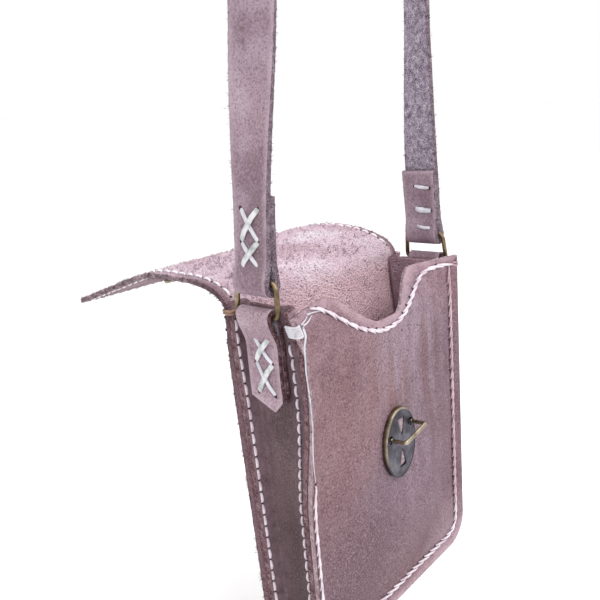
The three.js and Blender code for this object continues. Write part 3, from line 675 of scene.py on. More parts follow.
def slotReach(x, length):  # distance out from the slot's edge, negative inside it
    return np.hypot(np.maximum(np.abs(x) - slotEnd, 0), length - backLength - flap["slotAt"]) - slotRadius


def openSlot(x, length):  # quads to leave out, with the places round them pulled to the slot's edge
    cut = slotReach((x[:-1, :-1] + x[1:, 1:]) / 2, (length[:-1, :-1] + length[1:, 1:]) / 2) < 0
    touched, kept = np.zeros(x.shape, bool), np.zeros(x.shape, bool)
    for i, j in ((0, 0), (0, 1), (1, 0), (1, 1)):
        corner = (slice(i, i + cut.shape[0]), slice(j, j + cut.shape[1]))
        touched[corner] |= cut
        kept[corner] |= ~cut
    for spot in map(tuple, np.argwhere(touched & kept)):
        core = np.array([np.clip(x[spot], -slotEnd, slotEnd), backLength + flap["slotAt"]])
        x[spot], length[spot] = core + unit(np.array([x[spot], length[spot]]) - core) * slotRadius
    return cut


def backFlap():
    x = acrossPanel()
    rise = cornerRise(x)[:, None]
    length = rise + (sideLength - 2 * rise) * stepsBetween(0, 1, flap["meshStep"] / sideLength)
    across = np.broadcast_to(x[:, None], length.shape).copy()
    cut = openSlot(across, length)
    grid = backFlapPoint(across, length)
    away = facing(grid, -1)  # to the flesh side
    flesh = grid + away * panel["leather"]
    onBack = length < backLength
    inset = np.where(onBack, edgeInset(grid[..., 0], grid[..., 2]), panel["width"])
    edge = np.minimum(halfWidth - np.abs(grid[..., 0]), sideLength - length)
    soft = waves(grid, *flap["waves"]) * smooth(np.minimum(inset, edge) / flap["calmEdge"])
    grain = grid + away * (grooveAt(inset, sewing["backInset"]) + soft)[..., None]
    grain = dented(grain, onFace(backFace, backStops, 1)[0], sewing["dent"], away)
    stops, normals = onFlap(flapStops)
    grain = dented(grain, stops, sewing["flapDent"], away)
    nap = waves(flesh, *flap["nap"]) * smooth(np.where(onBack, 0, length - backLength) / flap["napFrom"])
    flesh = flesh + away * (nap + soft)[..., None]
    flesh = dented(flesh, stops - normals * panel["leather"], sewing["fleshDent"], -away)
    leatherPiece("backFlap", "back_flap", grain, flesh, [grainMauve, fleshPale, edgeBack], "grain_leather",
                 flap["bulge"], flap["ragged"], cut)


backFlap()
print("back and flap made")

# gusset: sections across, from the front seam to the back seam, swept down the side and round the bottom
gusset = {"web": 7.5, "leftTop": 181.5, "rightTop": 177.0, "bulge": 3.0, "bulgeFrom": 90.0, "bulgeOver": 70.0,
          "outerInset": (0, 1.2, 2.4, 3.6, 4.8, 5.8, 6.6, 7.1, 7.4, 7.5, 7.5),
          "outerStep": (2.4, 2.4, 2.4, 2.4, 2.42, 2.5, 2.72, 3.1, 3.7, 4.8, 8.4),
          "innerInset": (0, 1.2, 2.4, 3.6, 5.0, 6.4, 7.6, 8.6, 9.3, 9.8, 9.9),
          "innerStep": (0, 0, 0, 0, 0.02, 0.06, 0.2, 0.65, 1.5, 3.2, 8.4),
          "meshStep": 1.6, "webColumns": 14, "waves": ((0.7, 26, 8), (0.2, 8, 9)),
          "edgeBulge": 0.25, "ragged": 0.2}


def sideBulge(z):  # how far the sides swell out near the mouth
    return gusset["bulge"] * smooth((z - gusset["bulgeFrom"]) / gusset["bulgeOver"])


def gussetSkin(line, normal, insets, steps):
    front, back = [], []
    for k, (inset, step) in enumerate(zip(insets, steps)):
        out = inset - sideBulge(line[:, 1]) * (k == len(insets) - 1)
        x, z = line[:, 0] - normal[:, 0] * out, line[:, 1] - normal[:, 1] * out
        reach = panel["leather"] + panel["seamGap"] + step
        front.append(np.stack([x, frontFace(x, z) + reach, z], -1))
        back.append(np.stack([x, backFlange(out, z, reach), z], -1))
    shares = np.linspace(0, 1, gusset["webColumns"])[1:-1]
    web = [front[-1] + (back[-1] - front[-1]) * share for share in shares]
    return np.stack(front + web + back[::-1], 1)


def flangeStops():  # holes on the gusset's back flange
    return onFace(flangeFace, backStops, -1)


def webStops(side):  # holes down the gusset's side, beside its front seam
    z = np.arange(sewing["webTop"], sewing["webLow"], -sewing["pitch"])
    x = side * (halfWidth - gusset["web"] + sideBulge(z))
    y = frontFace(np.full_like(z, side * halfWidth), z) + sewing["webBehind"]
    return np.stack([x, y, z], 1), np.broadcast_to((float(side), 0.0, 0.0), (len(z), 3))


def sewGusset():
    line = seamLine(0, gusset["leftTop"])
    line = line[(line[:, 0] < 0) | (line[:, 1] < gusset["rightTop"])]
    line = along(np.vstack([line, (halfWidth, gusset["rightTop"])]), gusset["meshStep"])
    run = unit(np.gradient(line, axis=0))
    normal = np.stack([run[:, 1], -run[:, 0]], 1)  # away from the pocket
    grain = gussetSkin(line, normal, gusset["outerInset"], gusset["outerStep"])
    flesh = gussetSkin(line, normal, gusset["innerInset"], gusset["innerStep"])
    away = unit(flesh - grain)
    column = np.arange(grain.shape[1])
    middle = smooth(np.minimum(column, column[::-1]) / gusset["webColumns"] - 0.7)  # the flanges stay flat
    grain = grain + away * (waves(grain, *gusset["waves"]) * middle)[..., None]
    stops = np.vstack([flangeStops()[0], webStops(-1)[0], webStops(1)[0]])
    grain = dented(grain, stops, sewing["dent"], away)
    leatherPiece("gusset", "gusset", grain, flesh, [grainGusset, fleshGusset, edgeRaw], "gusset_leather",
                 gusset["edgeBulge"], gusset["ragged"])


sewGusset()
print("gusset made")

# straps, tabs and rings; the left one is made and the right one mirrored
straps = {"width": 20.0, "leather": 2.8, "fold": 37.5, "run": 451.7, "lean": math.radians(5.3),
          "twist": math.radians(25), "twistFrom": 17.0, "twistOver": 110.0,
          "twistFadeFrom": 240.0, "twistFadeOver": 170.0, "hangBend": 80.0,
          "wrap": 3.3, "wrapDrop": 2.0, "meet": 12.0, "gap": 0.3,
          "drop": 2.8, "dropFrom": 40.0, "dropOver": 320.0,
          "uneven": (0.018, 22, 11), "waves": (0.18, 14, 12), "nap": (0.16, 1.8, 13),
          "sunk": 0.05, "crown": 0.12, "crownMost": 0.1, "trim": 0.4, "skin": 0.1,
          "bulge": 0.25, "ragged": 0.26}
tabs = {"width": 20.0, "leather": 2.4, "height": 178.7, "standOff": 1.5, "inner": 40.0, "outer": 44.7,
        "point": 5.5, "pointLean": -4.5, "pointWidth": 1.2, "rollFade": 14.0,
        "waves": (0.12, 8), "raised": 0.06, "ragged": 0.2}
rings = {"wire": 2.4, "centreY": 20.5, "lowHalf": 12.9, "lowRound": 2.5,
         "highHalf": 11.6, "high": 15.5, "highRound": 4.5}
lean = straps["lean"]
columns = np.linspace(-0.5, 0.5, 15)  # across a strap or tab
tabInnerX = -(halfWidth - gusset["web"] + gusset["bulge"]) - straps["gap"] - tabs["leather"] / 2
tabRoll = rings["wire"] / 2 + straps["gap"] + tabs["leather"] / 2
ringX = tabInnerX - tabs["standOff"] - tabRoll
wrapX = ringX + (rings["high"] - straps["wrapDrop"]) * math.sin(lean)
wrapZ = tabs["height"] + (rings["high"] - straps["wrapDrop"]) * math.cos(lean)
layer = (straps["leather"] + straps["gap"]) / 2


def besideStrap(up, out):
    return np.stack([wrapX + up * math.sin(lean) - out * math.cos(lean),
                     wrapZ + up * math.cos(lean) + out * math.sin(lean)], -1)


def strapLine():  # centre line of the left half as x and z, from the fold's end to the top
    fold, meet, run, wrap = (straps[key] for key in ("fold", "meet", "run", "wrap"))
    high, low = stepsBetween(meet, fold, 2.0), stepsBetween(0, meet, 1.2)
    level, apart = np.full(len(high), layer), wrap + (layer - wrap) * smooth(low / meet)
    turns = np.linspace(0, math.pi, 17)[1:-1]
    x, z = besideStrap(run, layer)
    arch = -x / math.cos(lean)
    bend = np.linspace(math.pi - lean, math.pi / 2, 24)[1:]
    return np.vstack([besideStrap(high[::-1], -level)[:-1], besideStrap(low[::-1], -apart[::-1]),
                      besideStrap(-wrap * np.sin(turns), -wrap * np.cos(turns)),
                      besideStrap(low, apart), besideStrap(high, level)[1:],
                      besideStrap(stepsBetween(fold, run, 1.3), layer)[1:],
                      np.stack([arch * np.cos(bend), z - arch * math.sin(lean) + arch * np.sin(bend)], -1)])


def strapDrift(z):  # the strap hangs plumb while the bag tips
    height = np.maximum(0, z - wrapZ)
    bent = np.minimum(height, straps["hangBend"])
    tilt = math.tan(math.radians(-hanging["tilt"]))
    return -tilt * (bent * bent / (2 * straps["hangBend"]) + np.maximum(0, height - straps["hangBend"]))


def strapTwist(z):
    height = z - wrapZ
    rising = smooth((height - straps["twistFrom"]) / straps["twistOver"])
    falling = smooth((height - straps["twistFadeFrom"]) / straps["twistFadeOver"])
    return straps["twist"] * rising * (1 - falling)


def twisted(way, axis, angle):  # a direction square to the axis, turned about it
    angle = np.asarray(angle)[..., None]
    return way * np.cos(angle) + np.cross(axis, way) * np.sin(angle)


def strip(line, across, thick, middle, twist):  # two faces and the upward ways; line is x and z
    run = unit(np.gradient(line, axis=0))
    axis = np.insert(run, 1, 0, axis=1)
    up = twisted(np.stack([-run[:, 1], 0 * run[:, 0], run[:, 0]], -1), axis, twist)
    flat = np.insert(line, 1, middle, axis=1)[:, None]
    flat = flat + twisted(np.array([0.0, 1.0, 0.0]), axis, twist)[:, None] * across[..., None]
    return flat + up[:, None] * thick / 2, flat - up[:, None] * thick / 2, up


def sewStrap():
    half = strapLine()
    lower = straps["drop"] * (1 - smooth((half[:, 1] - wrapZ - straps["dropFrom"]) / straps["dropOver"]))
    line = np.vstack([half[:-1], np.stack([-half[:, 0], half[:, 1] - lower], 1)[::-1]])
    height = np.concatenate([half[:-1, 1], half[::-1, 1]])
    middle = rings["centreY"] + strapDrift(height)
    uneven = 1 + waves(np.insert(line, 1, middle, axis=1), straps["uneven"])
    across = columns * (straps["width"] - straps["trim"]) * uneven[:, None]
    grain, flesh, up = strip(line, across, straps["leather"] - straps["skin"], middle, strapTwist(height))
    crown = (1 - (across / (straps["width"] / 2)) ** 2) * straps["crown"]
    soft = waves(grain, straps["waves"]) - straps["sunk"]
    grain = grain + up[:, None] * np.minimum(crown + soft, straps["crownMost"])[..., None]
    flesh = flesh - up[:, None] * waves(flesh, straps["nap"])[..., None]
    leatherPiece("strap", "strap", grain, flesh, [grainStrap, fleshStrap, edgeStrap], "grain_leather",
                 straps["bulge"], straps["ragged"])


sewStrap()


def onSide(points, side):  # left-hand points as they are, or mirrored to the right, where they sit lower
    return points * (-side, 1, 1) - (0, 0, straps["drop"] * (side > 0))


def tabLine():  # x and z up the inside, over the ring and down the outside, then both edges' y
    outerX = tabInnerX - tabs["leather"] - straps["gap"]
    straight = tabs["outer"] - tabs["point"]
    inside, outside = stepsBetween(0, tabs["inner"], 1.5)[::-1], stepsBetween(0, straight, 1.4)[1:]
    turns, tapered = np.linspace(0, math.pi, 15)[1:], np.linspace(0, 1, 6)[1:]
    x = np.concatenate([tabInnerX - tabs["standOff"] * (1 - smooth(inside / tabs["rollFade"])),
                        ringX + tabRoll * np.cos(turns),
                        ringX - tabRoll + (outerX - ringX + tabRoll) * smooth(outside / tabs["rollFade"]),
                        np.full(len(tapered), outerX)])
    drop = np.concatenate([inside, -tabRoll * np.sin(turns), outside, straight + tabs["point"] * tapered])
    share = np.concatenate([np.zeros(len(x) - len(tapered)), tapered])
    front, back = (rings["centreY"] + way * tabs["width"] / 2 for way in (-1, 1))
    tip = rings["centreY"] + tabs["pointLean"]
    frontTip, backTip = (tip + way * tabs["pointWidth"] / 2 for way in (-1, 1))
    line = np.stack([x, tabs["height"] - drop], 1)
    return line, front + (frontTip - front) * share, back + (backTip - back) * share


def sewTab(name, cadNode, side):
    line, front, back = tabLine()
    across = columns * (back - front - straps["trim"])[:, None]
    thick = tabs["leather"] - straps["skin"]
    flesh, grain, up = strip(line, across, thick, (front + back) / 2, np.zeros(len(line)))
    grain = grain + up[:, None] * (waves(grain, (*tabs["waves"], 14 + side)) + tabs["raised"])[..., None]
    leatherPiece(name, cadNode, onSide(grain, side), onSide(flesh, side), [grainTab, fleshStrap, edgeTab],
                 "grain_leather", straps["bulge"], tabs["ragged"])


for side, name in ((-1, "Left"), (1, "Right")):
    sewTab("tab" + name, "tab_" + name.lower(), side)
print("strap and tabs made")


# tubes along a path, for wire and thread
def tube(path, up, wide, tall, sides, closed=False, plies=0, twist=0.0):
    path, up = np.asarray(path, float), np.broadcast_to(np.asarray(up, float), np.shape(path))
    ahead = unit(np.roll(path, -1, 0) - np.roll(path, 1, 0) if closed else np.gradient(path, axis=0))
    sideways = unit(np.cross(ahead, up))
    up = np.cross(sideways, ahead)
    angles = np.arange(sides) * 2 * math.pi / sides
    ply = np.ones((1, sides))
    if plies:
        ply = 1 + 0.1 * np.cos(plies * (angles - twist * lengthsAlong(path)[:, None]))
    wide, tall = (np.broadcast_to(size, len(path))[:, None] for size in (wide, tall))
    points = (path[:, None] + sideways[:, None] * (wide / 2 * np.cos(angles) * ply)[..., None]
              + up[:, None] * (tall / 2 * np.sin(angles) * ply)[..., None])
    index = np.arange(len(path) * sides).reshape(-1, sides)
    nextRow = np.roll(index, -1, 0)
    faces = np.stack([index, np.roll(index, -1, 1), np.roll(nextRow, -1, 1), nextRow], -1)
    faces = (faces if closed else faces[:-1]).reshape(-1, 4).tolist()
    if not closed:
        faces += [index[0][::-1].tolist(), index[-1].tolist()]
    return points.reshape(-1, 3), faces


def gather(parts):  # many small meshes as one
    points, faces, start = [], [], 0
    for some, corners in parts:
        points.append(some)
        faces += [[start + i for i in f] for f in corners]
        start += len(some)
    return np.vstack(points), faces


def ringPath():  # a D with round corners, as y and z
    low, high, top = rings["lowHalf"], rings["highHalf"], rings["high"]
    spots = np.array([(-low, 0), (low, 0), (high, top), (-high, top)])
    radii = [rings["lowRound"]] * 2 + [rings["highRound"]] * 2
    path = []
    for i, (spot, radius) in enumerate(zip(spots, radii)):
        before, after = unit(spots[i - 1] - spot), unit(spots[(i + 1) % 4] - spot)
        opening = math.acos(before @ after) / 2
        inward = unit(before + after)
        centre = spot + inward * radius / math.sin(opening)
        for angle in np.linspace(opening - math.pi / 2, math.pi / 2 - opening, 9):
            path.append(centre + radius * np.array(turned(*-inward, angle)))
    return along(path + path[:1], 1.1)[:-1]


def bendRing(name, cadNode, side):
    y, z = ringPath().T
    x, z = ringX + z * math.sin(lean), tabs["height"] + z * math.cos(lean)
    path = np.stack([x, rings["centreY"] + y, z], -1)
    up = (math.cos(lean), 0, -math.sin(lean))
    points, faces = tube(path, up, rings["wire"], rings["wire"], 18, closed=True)
    made = newPiece(name, onSide(points, side), faces, [antiqueBrass], "antique_brass")
    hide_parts(cadNode)


for side, name in ((-1, "Left"), (1, "Right")):
    bendRing("ring" + name, "ring_" + name.lower(), side)
print("rings made")


# thread
def yarn(path, up, wide, tall):  # three twisted plies
    return tube(path, up, wide, tall, 10, plies=3, twist=1.5)


def stitch(start, end, up, through=None, lift=0.62, width=sewing["thread"], flat=0.8, ends=0.62):
    t, sink = np.linspace(0, 1, 11), 0.5
    if through is None:
        path = start + (end - start) * t[:, None]
        high = -sink + (sink + lift * width) * np.sin(math.pi * t) ** 0.55
        thick = width * (ends + (1.04 - ends) * np.sin(math.pi * t) ** 0.7)
    else:  # rises from its hole and runs out beside the next one
        path = np.stack([np.interp(t, (0, 0.55, 1), line) for line in np.stack([start, through, end], 1)], 1)
        crest = lift * width
        high = np.interp(t, (0, 0.1, 0.3, 0.8, 1), (-sink, 0.6 * crest, crest, 0.7 * crest, -0.3 * width))
        thick = width * np.interp(t, (0, 0.1, 0.3, 0.7, 0.9, 1), (0.5, 0.8, 1, 0.95, 0.7, 0.45))
    return yarn(path + up * high[:, None], up, thick, thick * flat)


holes = []


def addHole(spot, up, size=0.62):  # painted shade of a hole's mouth, as a dark flat lens on the leather
    first = unit(np.cross(up, (0.31, 0.42, 0.85)))
    second = np.cross(up, first)
    turns = np.arange(8) * math.pi / 4
    rim = spot + size * (first * np.cos(turns)[:, None] + second * np.sin(turns)[:, None])
    faces = [[k, (k + 1) % 8, 8] for k in range(8)] + [[(k + 1) % 8, k, 9] for k in range(8)]
    holes.append((np.vstack([rim, spot + up * 0.12, spot - up * 0.3]), faces))


def runningStitch(stops, normals, space=0.07, **look):  # straight dashes from hole to hole
    parts = []
    for i in range(len(stops) - 1):
        gap = (stops[i + 1] - stops[i]) * space
        parts.append(stitch(stops[i] + gap, stops[i + 1] - gap, unit(normals[i] + normals[i + 1]), **look))
        addHole(stops[i], normals[i])
    addHole(stops[-1], normals[-1])
    return parts


# long slanted stitches, each beside half of the next
def ropeStitch(stops, normals, spread=0.8, tuck=0.5, **look):
    parts = []
    for i, wide in zip(range(len(stops) - 2), np.broadcast_to(spread, len(stops))):
        up = unit(normals[i] + normals[i + 1])
        side = np.cross(unit(stops[i + 1] - stops[i]), up) * wide
        end = stops[i + 1] * 0.15 + stops[i + 2] * 0.85 + side * tuck
        parts.append(stitch(stops[i] - side, end, up, through=stops[i + 1], **look))
        addHole(stops[i] * 1.08 - stops[i + 1] * 0.08 - side * 1.35, normals[i], 0.8)
    return parts


seams = {"front": {"tuck": 0.9, "lift": 0.5, "width": 1.2}, "frontSpread": (0.8, 1.3), "leftOf": -50.0,
         "scoop": {"spread": 1.05, "tuck": 0.7, "lift": 0.5, "width": 1.4},
         "flange": {"lift": 0.4, "width": 1.5}, "back": {"lift": 0.5}, "flapUnder": {"lift": 0.3},
         "flapTop": {"space": 0.14, "lift": 0.4, "width": 1.35}, "dullFrom": (50.0, 20.0)}


def sewSeams():
    points, normals = onFace(frontFace, frontStops, -1)
    spread = np.where(points[:, 0] < seams["leftOf"], *seams["frontSpread"])
    front = ropeStitch(points, normals, spread=spread, **seams["front"])
    scoop = ropeStitch(*onFace(frontFace, scoopStops, -1), **seams["scoop"])
    flanges = []
    for stops in (flangeStops(), webStops(-1), webStops(1)):
        flanges += runningStitch(*stops, **seams["flange"])
    back = ropeStitch(*onFace(backFace, backStops, 1), **seams["back"])
    points, normals = onFlap(flapStops)
    flapThread = runningStitch(points, normals, **seams["flapUnder"])
    flapThread += runningStitch(points - normals * panel["leather"], -normals, **seams["flapTop"])
    dull = [bool(np.all(some[0, ::2] > seams["dullFrom"])) for some, _ in front]  # the right side's stitches
    for name, parts, tone in (("frontSeamThread", [s for s, d in zip(front, dull) if d], "Pink"),
                              ("lowSeamThread", [s for s, d in zip(front, dull) if not d], "White"),
                              ("scoopThread", scoop, "White"), ("flangeThread", flanges, "White"),
                              ("backSeamThread", back, "Pink"), ("flapThread", flapThread, "Bright")):
        newPiece(name, *gather(parts), [thread[tone]], "waxed_thread")


sewSeams()
print("seams sewn")

# crossed stitches on the straps and tabs; rows are heights in the bag frame
crosses = {"half": 5.2, "tabRows": (169.4, 157.0, 142.0), "tabCentre": 19.8, "hole": 1.0,
           "leftRows": (225.0, 211.0, 200.0), "rightRows": (218.0, 205.2, 195.4),
           "under": {"lift": 0.25, "width": 2.1, "flat": 0.5, "ends": 0.85},
           "over": {"lift": 0.5, "width": 2.7, "flat": 0.4, "ends": 0.85},
           "foldWidths": (1.9, 3.1, 1.9), "foldLifts": (0.35, 0.4, 1.0),
           "foldAcross": (-7.2, 2.8), "foldTilt": 0.12}


def strapSpot(height, across, out, side):  # out is 1 for the grain side, -1 for the fold's
    height = height + straps["drop"] * (side > 0)
    x, z = besideStrap((height - wrapZ - layer * out * math.sin(lean)) / math.cos(lean), layer * out)
    axis = np.array([math.sin(lean), 0, math.cos(lean)])
    face = twisted(np.array([-math.cos(lean), 0, math.sin(lean)]), axis, strapTwist(z))
    sideways = twisted(np.array([0, 1.0, 0]), axis, strapTwist(z))
    spot = np.array([x, rings["centreY"] + strapDrift(z), z]) + sideways * across
    spot = spot + face * out * straps["leather"] / 2
    return onSide(spot, side), face * out * (-side, 1, 1)


def crossStitches():
    under, over = [], []
    outerX = tabInnerX - tabs["leather"] * 1.5 - straps["gap"]
    halves = (crosses["half"], -crosses["half"])

    def crossRows(rows):  # each row is a left and a right place with its way up
        for (left, leftUp), (right, rightUp) in rows:
            addHole(left, leftUp, crosses["hole"])
            addHole(right, rightUp, crosses["hole"])
        for upper, lower in zip(rows, rows[1:]):
            up = unit(upper[0][1] + lower[1][1])
            under.append(stitch(upper[0][0], lower[1][0], up, **crosses["under"]))
            over.append(stitch(upper[1][0], lower[0][0], up, **crosses["over"]))

    for side, heights in ((-1, crosses["leftRows"]), (1, crosses["rightRows"])):
        crossRows([[strapSpot(z, a, 1, side) for a in halves] for z in heights])
        for z, width, lift in zip(heights, crosses["foldWidths"], crosses["foldLifts"]):
            ends = [strapSpot(z + a * crosses["foldTilt"], a, -1, side) for a in crosses["foldAcross"]]
            (first, firstUp), (second, secondUp) = ends
            under.append(stitch(first, second, unit(firstUp + secondUp), width=width, flat=0.5, lift=lift))
            for spot, up in ends:
                addHole(spot, up, crosses["hole"])
        up = np.array([side, 0.0, 0.0])
        crossRows([[(onSide(np.array([outerX, crosses["tabCentre"] + a, z]), side), up) for a in halves]
                   for z in crosses["tabRows"]])
    newPiece("crossThread", *gather(under), [thread["Cool"]], "waxed_thread")
    newPiece("crossThreadOver", *gather(over), [thread["Grey"]], "waxed_thread")


crossStitches()

# turns of thread that bind the seams' upper ends
binding = {"inset": 3.0, "thick": 1.3, "lift": 0.35, "step": 0.5}
bindings = {"leftBinding": {"side": -1, "face": frontFace, "turns": 5, "low": 171.8, "pitch": 0.95},
            "rightBinding": {"side": 1, "face": frontFace, "turns": 2, "low": 173.6, "pitch": 1.5},
            "backLeftBinding": {"side": -1, "face": flangeFace, "turns": 2, "low": 176.6, "pitch": 1.2},
            "backRightBinding": {"side": 1, "face": flangeFace, "turns": 2, "low": 176.6, "pitch": 1.2}}


def bindCorner(side, face, turns, low, pitch):
    parts = []
    for k in range(turns):
        z = low + k * pitch
        edge, inner = side * halfWidth, side * (halfWidth - binding["inset"])
        edgeY, innerY = face(edge, z), face(inner, z)
        half = [(inner, innerY, 0.5), (inner + side * 0.6, innerY, -binding["lift"]),
                (edge - side * 1.2, edgeY, -binding["lift"]), (edge + side * 0.5, edgeY, 0.2)]
        path = [(x, y + behind) for x, y, behind in half]
        path.append((edge + side * 0.8, edgeY + throughSeam / 2))
        path += [(x, y + throughSeam - behind) for x, y, behind in half[::-1]]
        tilt = np.linspace(0.5, -0.5, len(path)) * (0.6 if k % 2 else 0.3)
        path = along([(x, y, z + t) for (x, y), t in zip(path, tilt)], binding["step"])
        parts.append(yarn(path, (0, 0, 1.0), binding["thick"], binding["thick"]))
    return parts


for (name, look), tone in zip(bindings.items(), ("Dull", "Pink", "Tan", "Pink")):
    newPiece(name, *gather(bindCorner(**look)), [thread[tone]], "waxed_thread")

# strands at the left ear, as inset from the panel's edge, height and depth behind the face
cornerStrands = [[(5, 175, -0.4), (5.6, 174.2, -0.4), (5, 171.6, -0.4), (2.4, 170, -0.4), (0, 168.2, 0),
                  (-0.5, 163, 1.4), (-0.5, 157.5, 1.8), (-0.5, 146, 0.9), (-0.4, 134, 0.5), (-0.3, 121, 0.2),
                  (0.5, 110, -0.3), (1.9, 103, -0.4)],
                 [(4, 175.6, -0.4), (7.5, 175.4, -0.4), (11.3, 176.2, -0.4), (12.6, 177.2, -0.4)],
                 [(5.6, 174.6, -0.4), (9.5, 174.3, -0.4), (13.3, 175, -0.4), (16.8, 175.9, -0.4)],
                 [(4.6, 174.4, -0.4), (4.2, 172.6, -0.4), (3.4, 170.6, -0.3)],
                 [(12, 177.3, -0.4), (17, 176.7, -0.5), (24.5, 175.2, -0.3)]]


def layStrands():
    parts, step = [], 0.9
    for strand in cornerStrands:
        line = along(strand, step)
        eased = [np.convolve(np.pad(column, 2, "edge"), np.ones(5) / 5, "valid") for column in line.T]
        line = along(np.stack(eased, 1), step)
        points, normals = onFace(frontFace, line[:, :2] - (halfWidth, 0), -1)
        width = np.interp(np.linspace(0, 1, len(line)), (0, 0.1, 0.25, 0.6, 1), (0.9, 1.1, 0.8, 0.6, 0.4))
        parts.append(yarn(points - normals * line[:, 2:], normals, width, width * 0.85))
    newPiece("cornerStrands", *gather(parts), [thread["Dull"]], "waxed_thread")


layStrands()
newPiece("stitchHoleShade", *gather(holes), [holeShade], "gusset_leather")
print("stitches:", len(holes), "holes")

# fuzz of the cut edges, in tufts; fuzzyEdges has the number of strands, the shortest and the longest
fuzz = {"flatBelow": 172.0, "flatBehind": 60.0, "flatShare": 0.3, "strands": 6, "spread": 0.4, "sink": 0.3,
        "thick": 0.2, "tuftLean": 0.5, "strandLean": 0.35, "paleOn": ("strap", "backFlap")}
fuzzyEdges = {"backFlap": (9000, 0.7, 2.8), "frontPanel": (3000, 0.3, 1.0), "strap": (12000, 0.5, 1.9),
              "gusset": (3000, 0.3, 1.0), "tabLeft": (1200, 0.4, 1.3), "tabRight": (1200, 0.4, 1.3)}


def strands(roots, ways, lengths, thick):  # three-sided hairs with one bend
    bend = unit(ways + dice.normal(0, 0.45, ways.shape))
    knee = roots + ways * lengths[:, None] * 0.55
    spine = np.stack([roots, knee, knee + bend * lengths[:, None] * 0.45], 1)
    first = unit(np.cross(ways, dice.normal(0, 1, ways.shape)))
    second = np.cross(ways, first)
    turns = np.arange(3) * 2 * math.pi / 3
    spokes = first[:, None] * np.cos(turns)[:, None] + second[:, None] * np.sin(turns)[:, None]
    radii = np.array([1.0, 0.75, 0.25]) * thick / 2
    points = spine[:, :, None] + spokes[:, None] * radii[:, None, None]
    sides = [[r + k, r + (k + 1) % 3, r + 3 + (k + 1) % 3, r + 3 + k] for r in (0, 3) for k in range(3)]
    starts = np.arange(len(roots))[:, None, None] * 9
    faces = (np.array(sides) + starts).reshape(-1, 4).tolist()
    faces += (np.array([[2, 1, 0], [6, 7, 8]]) + starts).reshape(-1, 3).tolist()
    return points.reshape(-1, 3), faces


def growFuzz(name, count, shortest, longest):
    top, under, outward = cutEdges[name]
    runs = np.linalg.norm(np.roll(top, -1, 0) - top, axis=1)
    pressed = (top[:, 2] < fuzz["flatBelow"]) & (top[:, 1] < fuzz["flatBehind"])  # flat in the seams
    runs[pressed] *= fuzz["flatShare"]
    each = fuzz["strands"]
    tufts = count // each
    count = tufts * each
    pick = np.repeat(dice.choice(len(top), tufts, p=runs / runs.sum()), each)
    after = (pick + 1) % len(top)
    slide, share = np.repeat(dice.random(tufts), each)[:, None], dice.random(count)[:, None]
    upper, lower = (line[pick] * (1 - slide) + line[after] * slide for line in (top, under))
    roots = upper * (1 - share) + lower * share + dice.normal(0, fuzz["spread"], (count, 3))
    tuftLean = np.repeat(dice.normal(0, fuzz["tuftLean"], (tufts, 3)), each, 0)
    ways = unit(outward[pick] + tuftLean + dice.normal(0, fuzz["strandLean"], (count, 3)))
    size = np.repeat(dice.random(tufts) ** 2.2, each) * dice.uniform(0.5, 1, count)
    lengths = shortest + (longest - shortest) * size
    hairs = strands(roots - outward[pick] * fuzz["sink"], ways, lengths, fuzz["thick"])
    newPiece(name + "Fuzz", *hairs, [edgeStrap if name in fuzz["paleOn"] else edgeRaw], "grain_leather")


for name, look in fuzzyEdges.items():
    growFuzz(name, *look)

# loose nap on the flap's flesh
nap = {"tufts": 1500, "strands": 5, "margin": 4.0, "spread": 0.4, "sink": 0.5,
       "shortest": 0.8, "longest": 2.4, "lean": 0.5, "thick": 0.18}


def growNap():
    x = dice.uniform(nap["margin"] - halfWidth, halfWidth - nap["margin"], nap["tufts"])
    length = dice.uniform(backLength + nap["margin"], sideLength - nap["margin"], nap["tufts"])
    kept = (slotReach(x, length) > nap["margin"]) & (length < sideLength - cornerRise(x) - nap["margin"])
    points, normals = (np.repeat(some, nap["strands"], 0) for some in onFlap(np.stack([x, length], -1)[kept]))
    roots = points - normals * (panel["leather"] - nap["sink"]) + dice.normal(0, nap["spread"], points.shape)
    ways = unit(dice.normal(0, nap["lean"], points.shape) - normals)
    lengths = dice.uniform(nap["shortest"], nap["longest"], len(points))
    newPiece("flapNap", *strands(roots, ways, lengths, nap["thick"]), [fleshPale], "grain_leather")


growNap()
print("fuzz grown")

# clasp, in its own frame: x right, y up, z outward from the plate's back
clasp = {"wide": 27.0, "tall": 39.2, "thick": 2.8, "height": 94.0, "face": 2.6, "faceInset": 1.0,
         "bevel": 0.12, "windowX": 0.9, "apex": 3.0, "windowEnd": 13.6, "windowHalf": 3.0, "windowRound": 0.4,
         "loopX": 0.2, "loopY": 6.8, "tilt": math.radians(10.8), "lift": math.radians(8),
         "loopWidth": 20.2, "reach": 10.0, "bar": 1.8, "barTall": 2.2, "bend": 2.0, "eye": 1.3, "bore": 0.9,
         "pin": 1.2, "pinSpan": 4.2, "slotWide": 2.6, "slotTall": 4.2, "slotRound": 0.5}
plateRim = ((0, 0.15), (0, 1.7), (0.1, 2.3), (0.35, 2.66),
            (0.7, 2.8), (1.05, 2.72), (1.25, 2.45), (1.25, 0.15))  # inset and height
ovalSteps = 72
legX = (clasp["loopWidth"] - clasp["bar"]) / 2
claspPlace = np.array([0, frontFace(0.0, clasp["height"]) - straps["gap"], clasp["height"]])


def onClasp(points):  # clasp frame to the bag frame
    x, y, z = np.asarray(points, float).T
    return np.stack([x, -z, y], -1) + claspPlace


def onLoop(points):  # the loop's tilted frame to the clasp frame
    x, y, z = np.asarray(points, float).T
    x, y = turned(x, y, clasp["tilt"])
    return np.stack([x + clasp["loopX"], y + clasp["loopY"], z], -1)


